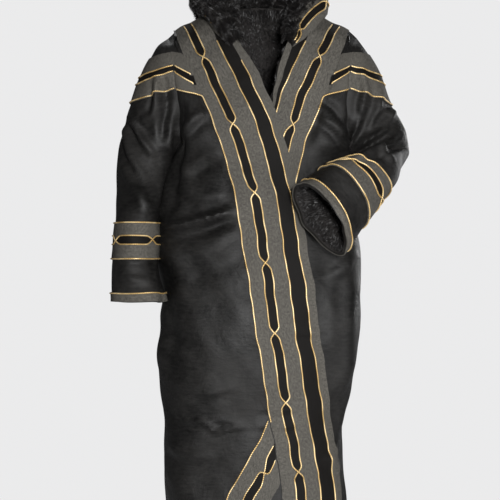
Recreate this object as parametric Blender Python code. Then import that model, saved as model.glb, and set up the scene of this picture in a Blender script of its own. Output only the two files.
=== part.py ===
"""Farwa cloak: a wrap-over winter coat with woven bands, gold cords and a fur collar.

Metres, +Z up. The front faces -Y and the wearer's right side is -X. The origin is the centre of the
neck opening, at the height where the collar is sewn on. Every panel is a net of points on one body
surface, so that neighbours share their seam, and every band and cord is made from its panel's points,
moved out along the same normals.
"""

import math

import bmesh
import bpy
import numpy as np

HEM_Z = -1.400
UNDERARM_Z = -0.300
SHOULDER_TIP_Z = -0.040
LOWER_ROWS = 16
SIDE_COLUMNS = 6
SLEEVE_COLUMNS = 18
COLLAR_COLUMNS = 26

CLOTH_WALL = 0.006
FUR_WALL = 0.012
BAND_WALL = 0.0018
CORD_RADIUS = 0.0015
SEAM_GAP = 0.0006
LAY_GAP = 0.0007
LAP_DEPTH = 0.0135
LAP_TOP_Z = -0.110
LAP_START_HEIGHT = 0.06
LAP_REACH_TURN = 28
LAP_FADE_TURN = 14
CHAIN_HALF = 0.0095
CHAIN_PITCH = 0.144
CHAIN_FIRST_Z = -0.089
CROSSING_HALF = 0.016
CROSSING_RISE = 0.0042
CHAIN_TOP_GAP = 0.004
LINK_STOPS = (0.35, 0.65)
# How far pipings and cords stay off a seam or an edge, in columns and rows of the nets.
SEAM_STOP = 0.12
PIPING_INSET = 0.06
CUFF_PIPING_INSET = 0.1
SHOULDER_CORD_START = 0.4
COLLAR_CORD_START = 0.4

ROUNDNESS = 2.3
SHOULDER_ROUNDNESS = 1.9
RIGHT, LEFT = -1, 1
FRONT, BACK = -1, 1


def table(names, rows):
    """A table with named columns."""
    columns = zip(names.split(), zip(*rows))
    return {name: np.array(values, float) for name, values in columns}


# Level sections of the body: half width to the wearer's right and left, depth to the front and back.
# Above the underarm the widths are those of the imagined body, from which the armholes are cut.
SECTIONS = table(
    "z right left front back",
    [
        (-1.400, 0.208, 0.212, 0.168, 0.160),
        (-1.200, 0.203, 0.196, 0.158, 0.150),
        (-1.030, 0.205, 0.180, 0.151, 0.143),
        (-0.960, 0.211, 0.178, 0.148, 0.141),
        (-0.890, 0.211, 0.172, 0.147, 0.139),
        (-0.820, 0.215, 0.178, 0.150, 0.137),
        (-0.760, 0.220, 0.195, 0.155, 0.136),
        (-0.705, 0.224, 0.207, 0.158, 0.135),
        (-0.650, 0.2145, 0.211, 0.160, 0.135),
        (-0.600, 0.206, 0.211, 0.160, 0.135),
        (-0.500, 0.2185, 0.211, 0.157, 0.134),
        (-0.450, 0.2175, 0.206, 0.155, 0.133),
        (-0.400, 0.2145, 0.176, 0.150, 0.132),
        (-0.350, 0.2015, 0.168, 0.145, 0.131),
        (-0.300, 0.190, 0.190, 0.140, 0.130),
        (-0.200, 0.216, 0.216, 0.136, 0.128),
        (-0.100, 0.242, 0.242, 0.130, 0.126),
        (0.000, 0.262, 0.262, 0.125, 0.124),
        (0.100, 0.270, 0.270, 0.115, 0.120),
    ],
)

# The line of the shoulders from the middle of the neck out, seen from the front.
RIDGE = table(
    "x z",
    [
        (0.000, 0.100),
        (0.050, 0.058),
        (0.088, 0.023),
        (0.120, 0.009),
        (0.153, -0.008),
        (0.168, -0.014),
        (0.186, -0.025),
        (0.203, -0.040),
        (0.300, -0.155),
    ],
)
NECK_SIDE_X = 0.088
NECK_BACK_Z = 0.036

# The lines of the right front's band seen from the front, from its edge outwards.
RIGHT_LINES = table(
    "z edge inner middle chain outer",
    [
        (-1.400, 0.182, 0.165, 0.137, 0.099, 0.058),
        (-1.200, 0.177, 0.162, 0.133, 0.094, 0.054),
        (-1.000, 0.163, 0.149, 0.120, 0.080, 0.042),
        (-0.900, 0.151, 0.134, 0.103, 0.063, 0.026),
        (-0.800, 0.138, 0.120, 0.087, 0.046, 0.008),
        (-0.700, 0.124, 0.105, 0.073, 0.031, -0.008),
        (-0.600, 0.110, 0.091, 0.059, 0.017, -0.023),
        (-0.500, 0.094, 0.076, 0.045, 0.003, -0.039),
        (-0.400, 0.078, 0.060, 0.030, -0.013, -0.055),
        (-0.300, 0.056, 0.038, 0.007, -0.039, -0.077),
        (-0.250, 0.041, 0.022, -0.008, -0.055, -0.095),
        (-0.200, 0.024, 0.003, -0.027, -0.075, -0.115),
        (-0.150, 0.003, -0.019, -0.049, -0.096, -0.135),
        (-0.100, -0.021, -0.042, -0.073, -0.118, -0.156),
        (-0.060, -0.051, -0.066, -0.093, -0.137, -0.176),
    ],
)
LEFT_LINES = table(
    "z edge inner middle chain outer",
    [
        (-1.400, -0.100, -0.079, -0.048, -0.010, 0.028),
        (-1.000, -0.090, -0.069, -0.038, 0.000, 0.038),
        (-0.800, -0.085, -0.064, -0.033, 0.004, 0.042),
        (-0.600, -0.074, -0.053, -0.022, 0.016, 0.052),
        (-0.500, -0.062, -0.042, -0.014, 0.022, 0.058),
        (-0.400, -0.045, -0.028, -0.005, 0.032, 0.068),
        (-0.300, -0.020, -0.010, 0.001, 0.045, 0.088),
        (-0.250, -0.001, 0.007, 0.016, 0.059, 0.101),
        (-0.200, 0.019, 0.025, 0.032, 0.076, 0.120),
        (-0.150, 0.028, 0.038, 0.049, 0.094, 0.138),
        (-0.100, 0.038, 0.052, 0.070, 0.114, 0.156),
        (-0.060, 0.047, 0.064, 0.087, 0.132, 0.173),
    ],
)
LINES = {RIGHT: RIGHT_LINES, LEFT: LEFT_LINES}

# Where each column of a front ends: two on the neckline, then the shoulder seam from the neck out.
EDGE, STRIP, INNER, MIDDLE, CORD_A, CORD_B, OUTER = range(7)
FRONT_TOP_X = (0.051, 0.078, 0.088, 0.120, 0.153, 0.168, 0.186)
NECKLINE_Z = {EDGE: -0.060, STRIP: -0.020}
SEAM = OUTER + SIDE_COLUMNS

# Rows of the chest and of the sleeve's cap: height on the armhole and on the front band's outer line.
CHEST_ROWS = table(
    "armhole outer",
    [
        (-0.300, -0.300),
        (-0.270, -0.275),
        (-0.225, -0.240),
        (-0.190, -0.205),
        (-0.157, -0.172),
        (-0.119, -0.150),
        (-0.108, -0.129),
        (-0.077, -0.082),
        (-0.055, -0.048),
        (-0.040, -0.025),
    ],
)
CHEST_COUNT = len(CHEST_ROWS["armhole"])
UNDERARM = LOWER_ROWS
TOP = LOWER_ROWS + CHEST_COUNT - 1
SHOULDER_GOLD = LOWER_ROWS + 4
SHOULDER_LOW_CORD = LOWER_ROWS + 5
SHOULDER_HIGH_CORD = LOWER_ROWS + 6
SHOULDER_TOP = LOWER_ROWS + 7

ARMHOLE_X = 0.190
ARMHOLE_TIP_X = 0.203
ARMHOLE_SCOOP = 0.018
ARMHOLE_BOW = {FRONT: 0.088, BACK: 0.092}

# Large soft folds that run down the cloth: middle, top and bottom, half width and height.
FOLDS = table(
    "face x z_top z_bottom half_width height",
    [
        (FRONT, -0.165, -0.42, -1.15, 0.032, 0.009),
        (FRONT, -0.095, -0.50, -0.92, 0.034, 0.007),
        (FRONT, 0.178, -0.52, -0.98, 0.024, 0.007),
        (BACK, -0.150, -0.45, -1.40, 0.034, 0.010),
        (BACK, -0.060, -0.60, -1.40, 0.036, 0.011),
        (BACK, 0.035, -0.40, -1.30, 0.034, 0.008),
        (BACK, 0.125, -0.55, -1.40, 0.036, 0.011),
    ],
)

FOLD_FADE = 0.16

# Outer points of the sleeve caps, one for each chest row, from the underarm up to the shoulder tip.
CAPS = {
    RIGHT: table(
        "x y z",
        [
            (0.3125, 0.000, -0.345),
            (0.308, 0.000, -0.290),
            (0.300, 0.000, -0.247),
            (0.292, 0.000, -0.215),
            (0.2815, 0.000, -0.182),
            (0.2665, 0.000, -0.142),
            (0.261, 0.000, -0.127),
            (0.241, 0.000, -0.088),
            (0.2235, 0.000, -0.058),
            (0.203, 0.000, -0.040),
        ],
    ),
    LEFT: table(
        "x y z",
        [
            (0.3165, 0.008, -0.272),
            (0.311, 0.006, -0.245),
            (0.302, 0.009, -0.223),
            (0.292, 0.006, -0.206),
            (0.2795, 0.003, -0.185),
            (0.261, 0.001, -0.143),
            (0.253, 0.000, -0.125),
            (0.230, 0.000, -0.078),
            (0.218, 0.000, -0.059),
            (0.203, 0.000, -0.040),
        ],
    ),
}
CAP_DEPTH = 0.074
CAP_OPENS_OVER = 0.45
CAP_FULLNESS = 0.85

# Rings of the sleeves below the underarm: outer and inner point, half depth and the way that the
# depth faces. The rows named in RING_ROWS carry the pipings and cords.
RING_COLUMNS = "px py pz qx qy qz depth fx fy fz"
RINGS = {
    RIGHT: table(
        RING_COLUMNS,
        [
            (0.3125, -0.030, -0.395, 0.2140, -0.045, -0.390, 0.074, 0, -1, 0),
            (0.3110, -0.050, -0.436, 0.2190, -0.056, -0.436, 0.074, 0, -1, 0),
            (0.3125, -0.058, -0.465, 0.2195, -0.060, -0.465, 0.073, 0, -1, 0),
            (0.3130, -0.061, -0.483, 0.2195, -0.062, -0.483, 0.073, 0, -1, 0),
            (0.3145, -0.065, -0.515, 0.2190, -0.066, -0.515, 0.072, 0, -1, 0),
            (0.3160, -0.070, -0.548, 0.2130, -0.071, -0.548, 0.072, 0, -1, 0),
            (0.3170, -0.080, -0.583, 0.2040, -0.081, -0.583, 0.072, 0, -1, 0),
            (0.3170, -0.084, -0.602, 0.2005, -0.085, -0.602, 0.072, 0, -1, 0),
        ],
    ),
    LEFT: table(
        RING_COLUMNS,
        [
            (0.3175, 0.018, -0.286, 0.195, -0.020, -0.310, 0.070, 0.02, -0.98, 0.20),
            (0.310, 0.012, -0.303, 0.194, -0.050, -0.310, 0.066, 0.13, -0.91, 0.35),
            (0.298, -0.006, -0.322, 0.188, -0.084, -0.304, 0.062, 0.30, -0.82, 0.45),
            (0.284, -0.036, -0.352, 0.181, -0.112, -0.304, 0.058, 0.45, -0.74, 0.45),
            (0.2557, -0.080, -0.386, 0.168, -0.138, -0.308, 0.054, 0.58, -0.66, 0.40),
            (0.238, -0.105, -0.405, 0.156, -0.156, -0.313, 0.052, 0.62, -0.66, 0.36),
            (0.227, -0.121, -0.417, 0.148, -0.166, -0.316, 0.051, 0.63, -0.68, 0.33),
            (0.200, -0.158, -0.449, 0.130, -0.190, -0.326, 0.049, 0.64, -0.70, 0.28),
            (0.184, -0.175, -0.472, 0.112, -0.204, -0.338, 0.047, 0.65, -0.72, 0.22),
            (0.169, -0.192, -0.4945, 0.095, -0.225, -0.352, 0.046, 0.65, -0.73, 0.17),
            (0.1601, -0.200, -0.5046, 0.0775, -0.240, -0.361, 0.045, 0.65, -0.73, 0.17),
        ],
    ),
}
RING_ROWS = {
    RIGHT: {"top": 2, "cord_a": 3, "cord_b": 4, "bottom": 5, "edge_gold": 7, "cuff": 8},
    LEFT: {"top": 5, "cord_a": 6, "cord_b": 7, "bottom": 8, "edge_gold": 10, "cuff": 11},
}

# The collar round the neck, from the tip of the right front to the tip of the left: where its free
# edge lies on the shoulders seen from above, then the reach and rise of the roll at the neck side and
# the outer side. On the right the free edge curls under the roll, on the left it lies open.
COLLAR = table(
    "share edge_x edge_y lean stand spread fall",
    [
        (0.00, -0.060, -0.090, 0.008, 0.012, 0.004, 0.010),
        (0.09, -0.078, -0.080, 0.023, 0.038, 0.017, 0.026),
        (0.18, -0.102, -0.058, 0.044, 0.063, 0.036, 0.046),
        (0.27, -0.121, -0.014, 0.070, 0.080, 0.052, 0.074),
        (0.37, -0.110, 0.048, 0.050, 0.086, 0.034, 0.076),
        (0.50, 0.000, 0.092, 0.030, 0.086, 0.010, 0.074),
        (0.63, 0.112, 0.048, 0.044, 0.084, 0.000, 0.066),
        (0.73, 0.131, -0.012, 0.066, 0.080, -0.006, 0.056),
        (0.82, 0.112, -0.054, 0.046, 0.066, 0.016, 0.050),
        (0.91, 0.086, -0.077, 0.024, 0.042, 0.012, 0.034),
        (1.00, 0.060, -0.092, 0.008, 0.012, 0.002, 0.010),
    ],
)
# Where the rows of the collar lie between its seam and its edge, and how thick its wall is there.
COLLAR_ROWS = table(
    "right left thickness",
    [
        (0.00, 0.00, 0.55),
        (0.14, 0.12, 0.90),
        (0.30, 0.24, 1.00),
        (0.46, 0.38, 1.00),
        (0.61, 0.54, 1.00),
        (0.76, 0.69, 0.90),
        (0.84, 0.79, 0.80),
        (0.92, 0.89, 0.60),
        (1.00, 1.00, 0.35),
    ],
)
COLLAR_LIFT = 0.0012
COLLAR_INSET = 0.0042
COLLAR_FRONT_LIFT = 0.0012
COLLAR_FRONT_INSET = 0.0048
COLLAR_EDGE_LIFT = 0.0105
COLLAR_TIP_SHARE = 0.24
COLLAR_TIP_THIN = 0.45
COLLAR_FRONT_SHARE = 0.28
COLLAR_FRONT_FADE = 0.05
COLLAR_OPENS_AT = 0.27
COLLAR_OPENS_OVER = 0.16
COLLAR_UPRIGHT = 0.7
BORDER_FIRST = 5

# The lower band of the right front: its outer piping seen from the front, and the other lines' widths.
LOWER_BAND = table(
    "z x",
    [
        (-1.400, -0.168),
        (-1.300, -0.150),
        (-1.200, -0.127),
        (-1.100, -0.100),
        (-1.010, -0.073),
        (-0.930, -0.032),
        (-0.847, 0.010),
        (-0.750, 0.060),
    ],
)
LOWER_BAND_WIDTHS = (0.0, 0.031, 0.049, 0.080)
LOWER_BAND_ROWS = 18
LOWER_BAND_LIFT = 0.0026
LOWER_BAND_TOP_Z = -0.850
LOWER_BAND_SEARCH = (-0.760, -1.200, 0.001)
LOWER_BAND_TUCK = 0.0025
LOWER_HEM_GAP = 0.001
LOWER_CROSSINGS = (1.6, 5.9, 10.2, 14.5)
LOWER_CROSSING_HALF = 0.6
LOWER_CHAIN_START = 0.15
LEFT_BAND_END_Z = -0.45
LEFT_CORD_END_Z = -0.36
FOREARM_CROSSINGS = (2, 7, 11, 16)
FOREARM_CROSSING_HALF = 1.0

# Where the columns of the back end, from the shoulder tip to the middle of the neck, and which of
# them carry the armhole and the side of the neck.
BACK_TOPS = (0.203, 0.186, 0.168, 0.153, 0.120, 0.088, 0.066, 0.035, 0.0)
BACK_COLUMNS = 2 * (len(BACK_TOPS) - 1)
BACK_INNER = 4
NECK_COLUMN = 5


def smooth(xs, ys, x):
    """A smooth curve through the points (xs, ys), read at x."""
    slopes = np.gradient(ys, xs)
    i = np.clip(np.searchsorted(xs, x) - 1, 0, len(xs) - 2)
    span = xs[i + 1] - xs[i]
    t = (x - xs[i]) / span
    ends = (1 + 2 * t) * (1 - t) ** 2 * ys[i] + t * t * (3 - 2 * t) * ys[i + 1]
    return ends + span * (t * (1 - t) ** 2 * slopes[i] - t * t * (1 - t) * slopes[i + 1])


def ease(t):
    t = np.clip(t, 0.0, 1.0)
    return t * t * (3 - 2 * t)


def unit(vectors):
    length = np.linalg.norm(vectors, axis=-1, keepdims=True)
    return vectors / np.maximum(length, 1e-12)


def ridge(x):
    return np.interp(abs(x), RIDGE["x"], RIDGE["z"])


def front_top_z(column):
    return NECKLINE_Z[column] if column in NECKLINE_Z else ridge(FRONT_TOP_X[column])


def section(name, z):
    return smooth(SECTIONS["z"], SECTIONS[name], z)


def half_width(x, z):
    return section("right" if x < 0 else "left", z)


def turn_of(x, z):
    """The angle round the section at which the surface reaches x: 0 in front, 90 degrees at the side."""
    share = min(abs(x) / half_width(x, z), 1.0)
    return math.copysign(math.asin(share ** (ROUNDNESS / 2)), x)


def fold(face, x, z):
    """How far the large soft folds stand out of the body at this place."""
    rise = 0.0
    for i in range(len(FOLDS["x"])):
        if FOLDS["face"][i] != face:
            continue
        across = (x - FOLDS["x"][i]) / FOLDS["half_width"][i]
        length = FOLDS["z_top"][i] - FOLDS["z_bottom"][i]
        down = (FOLDS["z_top"][i] - z) / length
        if 0 < down and abs(across) < 1:
            to_hem = FOLDS["z_bottom"][i] < HEM_Z + FOLD_FADE
            fade = ease(down * length / FOLD_FADE) * ease((1 - down) * length / FOLD_FADE + to_hem)
            rise += FOLDS["height"][i] * fade * (1 - across * across) ** 2
    return rise


def body_y(face, x, z):
    """Where the body's front or back lies at this place, seen from the front."""
    depth = section("front" if face == FRONT else "back", z)
    share = min(abs(x) / half_width(x, z), 1.0)
    y = depth * (1 - share**ROUNDNESS) ** (1 / ROUNDNESS)
    if z > UNDERARM_Z:
        t = min((z - UNDERARM_Z) / (ridge(x) - UNDERARM_Z), 1.0)
        y *= (1 - t**SHOULDER_ROUNDNESS) ** (1 / SHOULDER_ROUNDNESS)
    return face * (y + fold(face, x, z))


def section_point(face, turn, z):
    """A point of a level section by its angle, with the folds pushed out."""
    width = half_width(turn, z)
    depth = section("front" if face == FRONT else "back", z)
    x = math.copysign(width * abs(math.sin(turn)) ** (2 / ROUNDNESS), turn)
    y = depth * max(math.cos(turn), 0.0) ** (2 / ROUNDNESS)
    rise = fold(face, x, z) * math.cos(turn) ** 0.25 if math.cos(turn) > 1e-6 else 0.0
    along = unit(np.array([x / width**2, face * y / depth**2, 0.0]))
    return np.array([x, face * y, z]) + rise * along


def armhole(side, face, z):
    """The armhole: an oval that stands on the underarm and ends at the shoulder tip."""
    middle = (UNDERARM_Z + SHOULDER_TIP_Z) / 2
    half = (SHOULDER_TIP_Z - UNDERARM_Z) / 2
    level = np.clip((z - middle) / half, -1, 1)
    across = math.sqrt(1 - level * level)
    x = ARMHOLE_X + (ARMHOLE_TIP_X - ARMHOLE_X) * (level + 1) / 2 - ARMHOLE_SCOOP * across
    return np.array([side * x, face * ARMHOLE_BOW[face] * across, z])


def lower_heights():
    return np.linspace(HEM_Z, UNDERARM_Z, LOWER_ROWS + 1)


def chest_shares():
    heights = CHEST_ROWS["outer"]
    return (heights - heights[0]) / (heights[-1] - heights[0])


def line_x(side, column, z):
    """Where a column of the front band runs, seen from the front."""
    lines = LINES[side]
    chain = lines["chain"]
    values = {
        EDGE: lines["edge"],
        STRIP: (lines["edge"] + lines["inner"]) / 2,
        INNER: lines["inner"],
        MIDDLE: lines["middle"],
        CORD_A: chain - side * CHAIN_HALF,
        CORD_B: chain + side * CHAIN_HALF,
        OUTER: lines["outer"],
    }[column]
    top_x, top_z = side * FRONT_TOP_X[column], front_top_z(column)
    keep = lines["z"] < top_z - 0.012
    return smooth(np.append(lines["z"][keep], top_z), np.append(values[keep], top_x), z)


def lap(x, z):
    """How far the left front lies in under the right one."""
    edge = line_x(RIGHT, EDGE, min(z, front_top_z(EDGE)))
    past = math.degrees(turn_of(x, z) - turn_of(edge, z))
    across = ease((LAP_REACH_TURN - past) / LAP_FADE_TURN)
    return LAP_DEPTH * float(across * ease((LAP_TOP_Z - z) / LAP_START_HEIGHT))


def front_net(side):
    """The net of one front: rows from the hem up, columns from the front edge to the side seam."""
    net = np.zeros((TOP + 1, SEAM + 1, 3))
    for row, z in enumerate(lower_heights()):
        for column in range(OUTER + 1):
            x = line_x(side, column, z)
            net[row, column] = (x, body_y(FRONT, x, z), z)
        start = turn_of(net[row, OUTER, 0], z)
        for column in range(OUTER + 1, SEAM + 1):
            share = (column - OUTER) / SIDE_COLUMNS
            turn = start + (side * math.pi / 2 - start) * share
            net[row, column] = section_point(FRONT, turn, z)
    for i, share in enumerate(chest_shares()):
        row = LOWER_ROWS + i
        if i == 0:
            continue
        for column in range(OUTER + 1):
            z = lerp(UNDERARM_Z, front_top_z(column), share)
            x = line_x(side, column, z)
            net[row, column] = (x, body_y(FRONT, x, z), z)
        net[row, SEAM] = armhole(side, FRONT, CHEST_ROWS["armhole"][i])
    fill_side(net, OUTER, SEAM)
    if side == LEFT:
        push_under(net)
    return net


def fill_side(net, inner, seam):
    """Fills the chest between a finished column and the armhole, carrying on the row at the underarm."""
    step = 1 if seam > inner else -1
    for i, share in enumerate(chest_shares()):
        row = LOWER_ROWS + i
        for column in range(inner + step, seam, step):
            across = (column - inner) / (seam - inner)
            low = net[UNDERARM, column] - lerp(net[UNDERARM, inner], net[UNDERARM, seam], across)
            if i > 0:
                flat = lerp(net[row, inner], net[row, seam], across)
                net[row, column] = flat + (1 - share) ** 2 * low


def lerp(a, b, t):
    return a + (b - a) * t


def push_under(net):
    for row in range(TOP):
        for column in range(SEAM):
            x, y, z = net[row, column]
            depth = lap(x, z)
            width = half_width(x, z)
            inward = unit(np.array([x / width**2, min(y, -0.001) / 0.15**2, 0.0]))
            net[row, column] -= depth * inward


def back_net():
    """The net of the back: rows from the hem up, columns from the right side to the left."""
    net = np.zeros((TOP + 1, BACK_COLUMNS + 1, 3))
    for row, z in enumerate(lower_heights()):
        for column in range(BACK_COLUMNS + 1):
            turn = math.pi * (column / BACK_COLUMNS - 0.5)
            net[row, column] = section_point(BACK, turn, z)
    for i, share in enumerate(chest_shares()):
        row = LOWER_ROWS + i
        if i == 0:
            continue
        for column in range(BACK_COLUMNS + 1):
            index = min(column, BACK_COLUMNS - column)
            top_x = math.copysign(BACK_TOPS[index], column - BACK_COLUMNS / 2)
            on_neck = index > NECK_COLUMN
            neck_z = lerp(NECK_BACK_Z, ridge(NECK_SIDE_X), (abs(top_x) / NECK_SIDE_X) ** 2)
            z = lerp(UNDERARM_Z, neck_z if on_neck else ridge(top_x), share)
            x = lerp(net[UNDERARM, column, 0], top_x, share)
            net[row, column] = (x, body_y(BACK, x, z), z)
        net[row, 0] = armhole(RIGHT, BACK, CHEST_ROWS["armhole"][i])
        net[row, BACK_COLUMNS] = armhole(LEFT, BACK, CHEST_ROWS["armhole"][i])
    top = net[TOP].copy()
    fill_side(net, BACK_INNER, 0)
    fill_side(net, BACK_COLUMNS - BACK_INNER, BACK_COLUMNS)
    net[TOP] = top
    return net


def cap_row(side, i):
    """A row of the sleeve's cap, from the front of the armhole over the arm to the back."""
    cap = CAPS[side]
    height = CHEST_ROWS["armhole"][i]
    front, back = armhole(side, FRONT, height), armhole(side, BACK, height)
    outer = np.array([side * cap["x"][i], cap["y"][i], cap["z"][i]])
    share = (height - UNDERARM_Z) / (SHOULDER_TIP_Z - UNDERARM_Z)
    opened = float(ease(share / CAP_OPENS_OVER))
    reach = outer - (front + back) / 2
    row = []
    for column in range(SLEEVE_COLUMNS + 1):
        turn = math.pi * column / SLEEVE_COLUMNS
        round_out = max(math.sin(turn), 0.0) ** CAP_FULLNESS
        out = lerp(math.sin(turn) ** 2, round_out, opened)
        side_step = np.array([0, -1, 0]) * (1 - opened) ** 5 * CAP_DEPTH * math.sin(2 * turn)
        row.append(lerp(front, back, (1 - math.cos(turn)) / 2) + reach * out + side_step)
    return row


def ring_row(side, i):
    """A ring of the sleeve below the underarm, from its inner line round the front and back."""
    ring = {name: values[i] for name, values in RINGS[side].items()}
    outer = np.array([side * ring["px"], ring["py"], ring["pz"]])
    inner = np.array([side * ring["qx"], ring["qy"], ring["qz"]])
    facing = unit(np.array([side * ring["fx"], ring["fy"], ring["fz"]]))
    row = []
    for column in range(SLEEVE_COLUMNS + 1):
        turn = math.pi * column / SLEEVE_COLUMNS
        out = (outer - inner) * math.sin(turn) ** 2
        row.append(inner + out + facing * ring["depth"] * math.sin(2 * turn))
    return row


def sleeve_net(side):
    """The net of a sleeve: rows from the shoulder tip to the cuff, columns round the arm."""
    rows = [cap_row(side, i) for i in reversed(range(CHEST_COUNT))]
    rows += [ring_row(side, i) for i in range(len(RINGS[side]["px"]))]
    net = np.array(rows)
    net[CHEST_COUNT - 1 :, -1] = net[CHEST_COUNT - 1 :, 0]
    return net


def face_normals(net):
    across = net[1:, 1:] - net[:-1, :-1]
    along = net[1:, :-1] - net[:-1, 1:]
    return np.cross(across, along)


def key_of(point):
    return tuple(np.round(point, 6))


def shared_normals(nets, flips):
    """Normals at every point of every net, averaged over all the nets that meet there."""
    sums = {}
    for name, net in nets.items():
        faces = face_normals(net) * flips[name]
        for row in range(faces.shape[0]):
            for column in range(faces.shape[1]):
                corners = net[row : row + 2, column : column + 2].reshape(-1, 3)
                for key in map(key_of, corners):
                    sums[key] = sums.get(key, 0.0) + faces[row, column]
    normals = {}
    for name, net in nets.items():
        normals[name] = unit(np.array([[sums[key_of(point)] for point in row] for row in net]))
    return normals


def raise_underarm(net, normals):
    """Where sleeve, front and back meet under the arm, the inside lies straight up."""
    meets = np.isclose(abs(net), (ARMHOLE_X, 0.0, -UNDERARM_Z), atol=1e-6).all(axis=-1)
    normals[meets] = (0.0, 0.0, -1.0)


def straighten_shoulder(top):
    """The back has no points at the outer part of the shoulder seam, so the front's run straight there."""
    for column in range(OUTER + 1, SEAM):
        top[column] = lerp(top[OUTER], top[SEAM], (column - OUTER) / SIDE_COLUMNS)


class Cloth:
    """A net of outer points with its normals: the source of a panel and of all that lies on it."""

    def __init__(self, points, normals):
        self.points = points
        self.normals = normals

    def moved(self, lift, rows=None, columns=None):
        rows = rows or slice(None)
        columns = columns or slice(None)
        return (self.points + lift * self.normals)[rows, columns]

    def at(self, row, column, lift):
        """A point of the net between its rows and columns, moved out by lift."""
        r = int(np.clip(math.floor(row), 0, self.points.shape[0] - 2))
        c = int(np.clip(math.floor(column), 0, self.points.shape[1] - 2))
        moved = self.points[r : r + 2, c : c + 2] + lift * self.normals[r : r + 2, c : c + 2]
        low = lerp(moved[0, 0], moved[0, 1], column - c)
        high = lerp(moved[1, 0], moved[1, 1], column - c)
        return lerp(low, high, row - r)

    def row_at(self, z):
        """The row of a level, on a net whose lower rows are level and rise from the hem."""
        return float(np.interp(z, self.points[: UNDERARM + 1, EDGE, 2], np.arange(UNDERARM + 1)))

    def column_at(self, row, x):
        r = int(np.clip(math.floor(row), 0, self.points.shape[0] - 2))
        line = lerp(self.points[r, :, 0], self.points[r + 1, :, 0], row - r)
        order = np.argsort(line)
        return float(np.interp(x, line[order], order))


def material(name, color, roughness, metallic=0.0):
    finish = bpy.data.materials.new(name)
    finish.use_nodes = True
    shader = finish.node_tree.nodes["Principled BSDF"]
    shader.inputs["Base Color"].default_value = (*color, 1.0)
    shader.inputs["Roughness"].default_value = roughness
    shader.inputs["Metallic"].default_value = metallic
    finish.diffuse_color = (*color, 1.0)
    return finish


def add_object(name, data, finish):
    data.materials.append(finish)
    piece = bpy.data.objects.new(name, data)
    bpy.context.scene.collection.objects.link(piece)
    return piece


def drawn_in(points, open_rows):
    """The net with its free edges drawn in by half a seam, so that neighbours stay apart. The rows
    past open_rows close round a tube, and the first of them also keeps clear of what is above it."""
    points = points.copy()
    step = SEAM_GAP / 2
    for edge, beside in ((0, 1), (-1, -2)):
        points[edge] += step * unit(points[beside] - points[edge])
        sides = points[:open_rows]
        sides[:, edge] += step * unit(sides[:, beside] - sides[:, edge])
    if 0 < open_rows < len(points):
        for edge in (0, -1):
            below = points[open_rows + 1, edge] - points[open_rows, edge]
            points[open_rows, edge] += 0.5 * step * unit(below)
    return points


def wall(name, outer, inner, finish, open_rows=None):
    """A closed wall between two nets of the same rows and columns. The rows past open_rows close
    round a tube."""
    open_rows = len(outer) if open_rows is None else open_rows
    outer, inner = drawn_in(outer, open_rows), drawn_in(inner, open_rows)
    rows, columns = outer.shape[:2]
    bm = bmesh.new()
    bmesh.ops.create_grid(bm, x_segments=columns - 1, y_segments=rows - 1, size=1.0)
    bm.verts.ensure_lookup_table()
    place = bm.verts.layers.int.new("place")
    for index, vert in enumerate(bm.verts):
        vert[place] = index
        vert.co = outer.reshape(-1, 3)[index]
    if open_rows < rows:
        bmesh.ops.remove_doubles(bm, verts=bm.verts, dist=1e-6)
    grown = bmesh.ops.extrude_face_region(bm, geom=bm.faces[:], use_keep_orig=True)
    for vert in (item for item in grown["geom"] if isinstance(item, bmesh.types.BMVert)):
        vert.co = inner.reshape(-1, 3)[vert[place]]
    bmesh.ops.recalc_face_normals(bm, faces=bm.faces)
    bmesh.ops.triangulate(bm, faces=bm.faces, quad_method="FIXED")
    mesh = bpy.data.meshes.new(name)
    bm.to_mesh(mesh)
    bm.free()
    mesh.shade_smooth()
    mesh.set_sharp_from_angle(angle=math.radians(45))
    return add_object(name, mesh, finish)


def cord(name, path, finish, closed=False):
    """A thin round cord along a path."""
    curve = bpy.data.curves.new(name, "CURVE")
    curve.dimensions = "3D"
    curve.bevel_depth = CORD_RADIUS
    curve.bevel_resolution = 0
    curve.use_fill_caps = not closed
    spline = curve.splines.new("POLY")
    spline.points.add(len(path) - 1)
    for point, position in zip(spline.points, path):
        point.co = (*position, 1.0)
    spline.use_cyclic_u = closed
    return add_object(name, curve, finish)


def on_band():
    return LAY_GAP + BAND_WALL + LAY_GAP + CORD_RADIUS


def band(name, cloth, rows, columns, finish, closed=False, lift=0.0):
    """A flat band on a stretch of a panel, made from the panel's points."""
    low = cloth.moved(lift + LAY_GAP, rows, columns)
    high = cloth.moved(lift + LAY_GAP + BAND_WALL, rows, columns)
    return wall(name, high, low, finish, 0 if closed else None)


def chain(names, cloth, place, ends, crossings, stations, finish, lift, half, closed=False):
    """Two cords that run side by side and cross. place(s, side) gives a row and a column of the net
    for a distance s along the band and a side from -1 to 1. The stations are stops to keep."""
    stops = [ends[0], ends[1], *(s for s in stations if all(abs(s - c) > half for c in crossings))]
    for crossing in crossings:
        stops += [crossing - half, crossing, crossing + half]
    between = sorted(crossings)
    for a, b in zip(between[:-1], between[1:]):
        stops += [lerp(a, b, share) for share in LINK_STOPS]
    low, high = min(ends), max(ends)
    stops = sorted({round(s, 6) for s in stops if low <= s <= high})
    pieces = []
    for index, name in enumerate(names):
        path = []
        for s in stops:
            done = sum(1 for c in crossings if s > c + 1e-6)
            at_crossing = any(abs(s - c) < 1e-6 for c in crossings)
            sign = (1 if index == 0 else -1) * (1 if done % 2 == 0 else -1)
            over = at_crossing and (done + index) % 2 == 0
            row, column = place(s, 0 if at_crossing else sign)
            path.append(cloth.at(row, column, lift + (CROSSING_RISE if over else 0.0)))
        if closed:
            path = path[:-1]
        pieces.append(cord(name, path, finish, closed))
    return pieces


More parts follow.
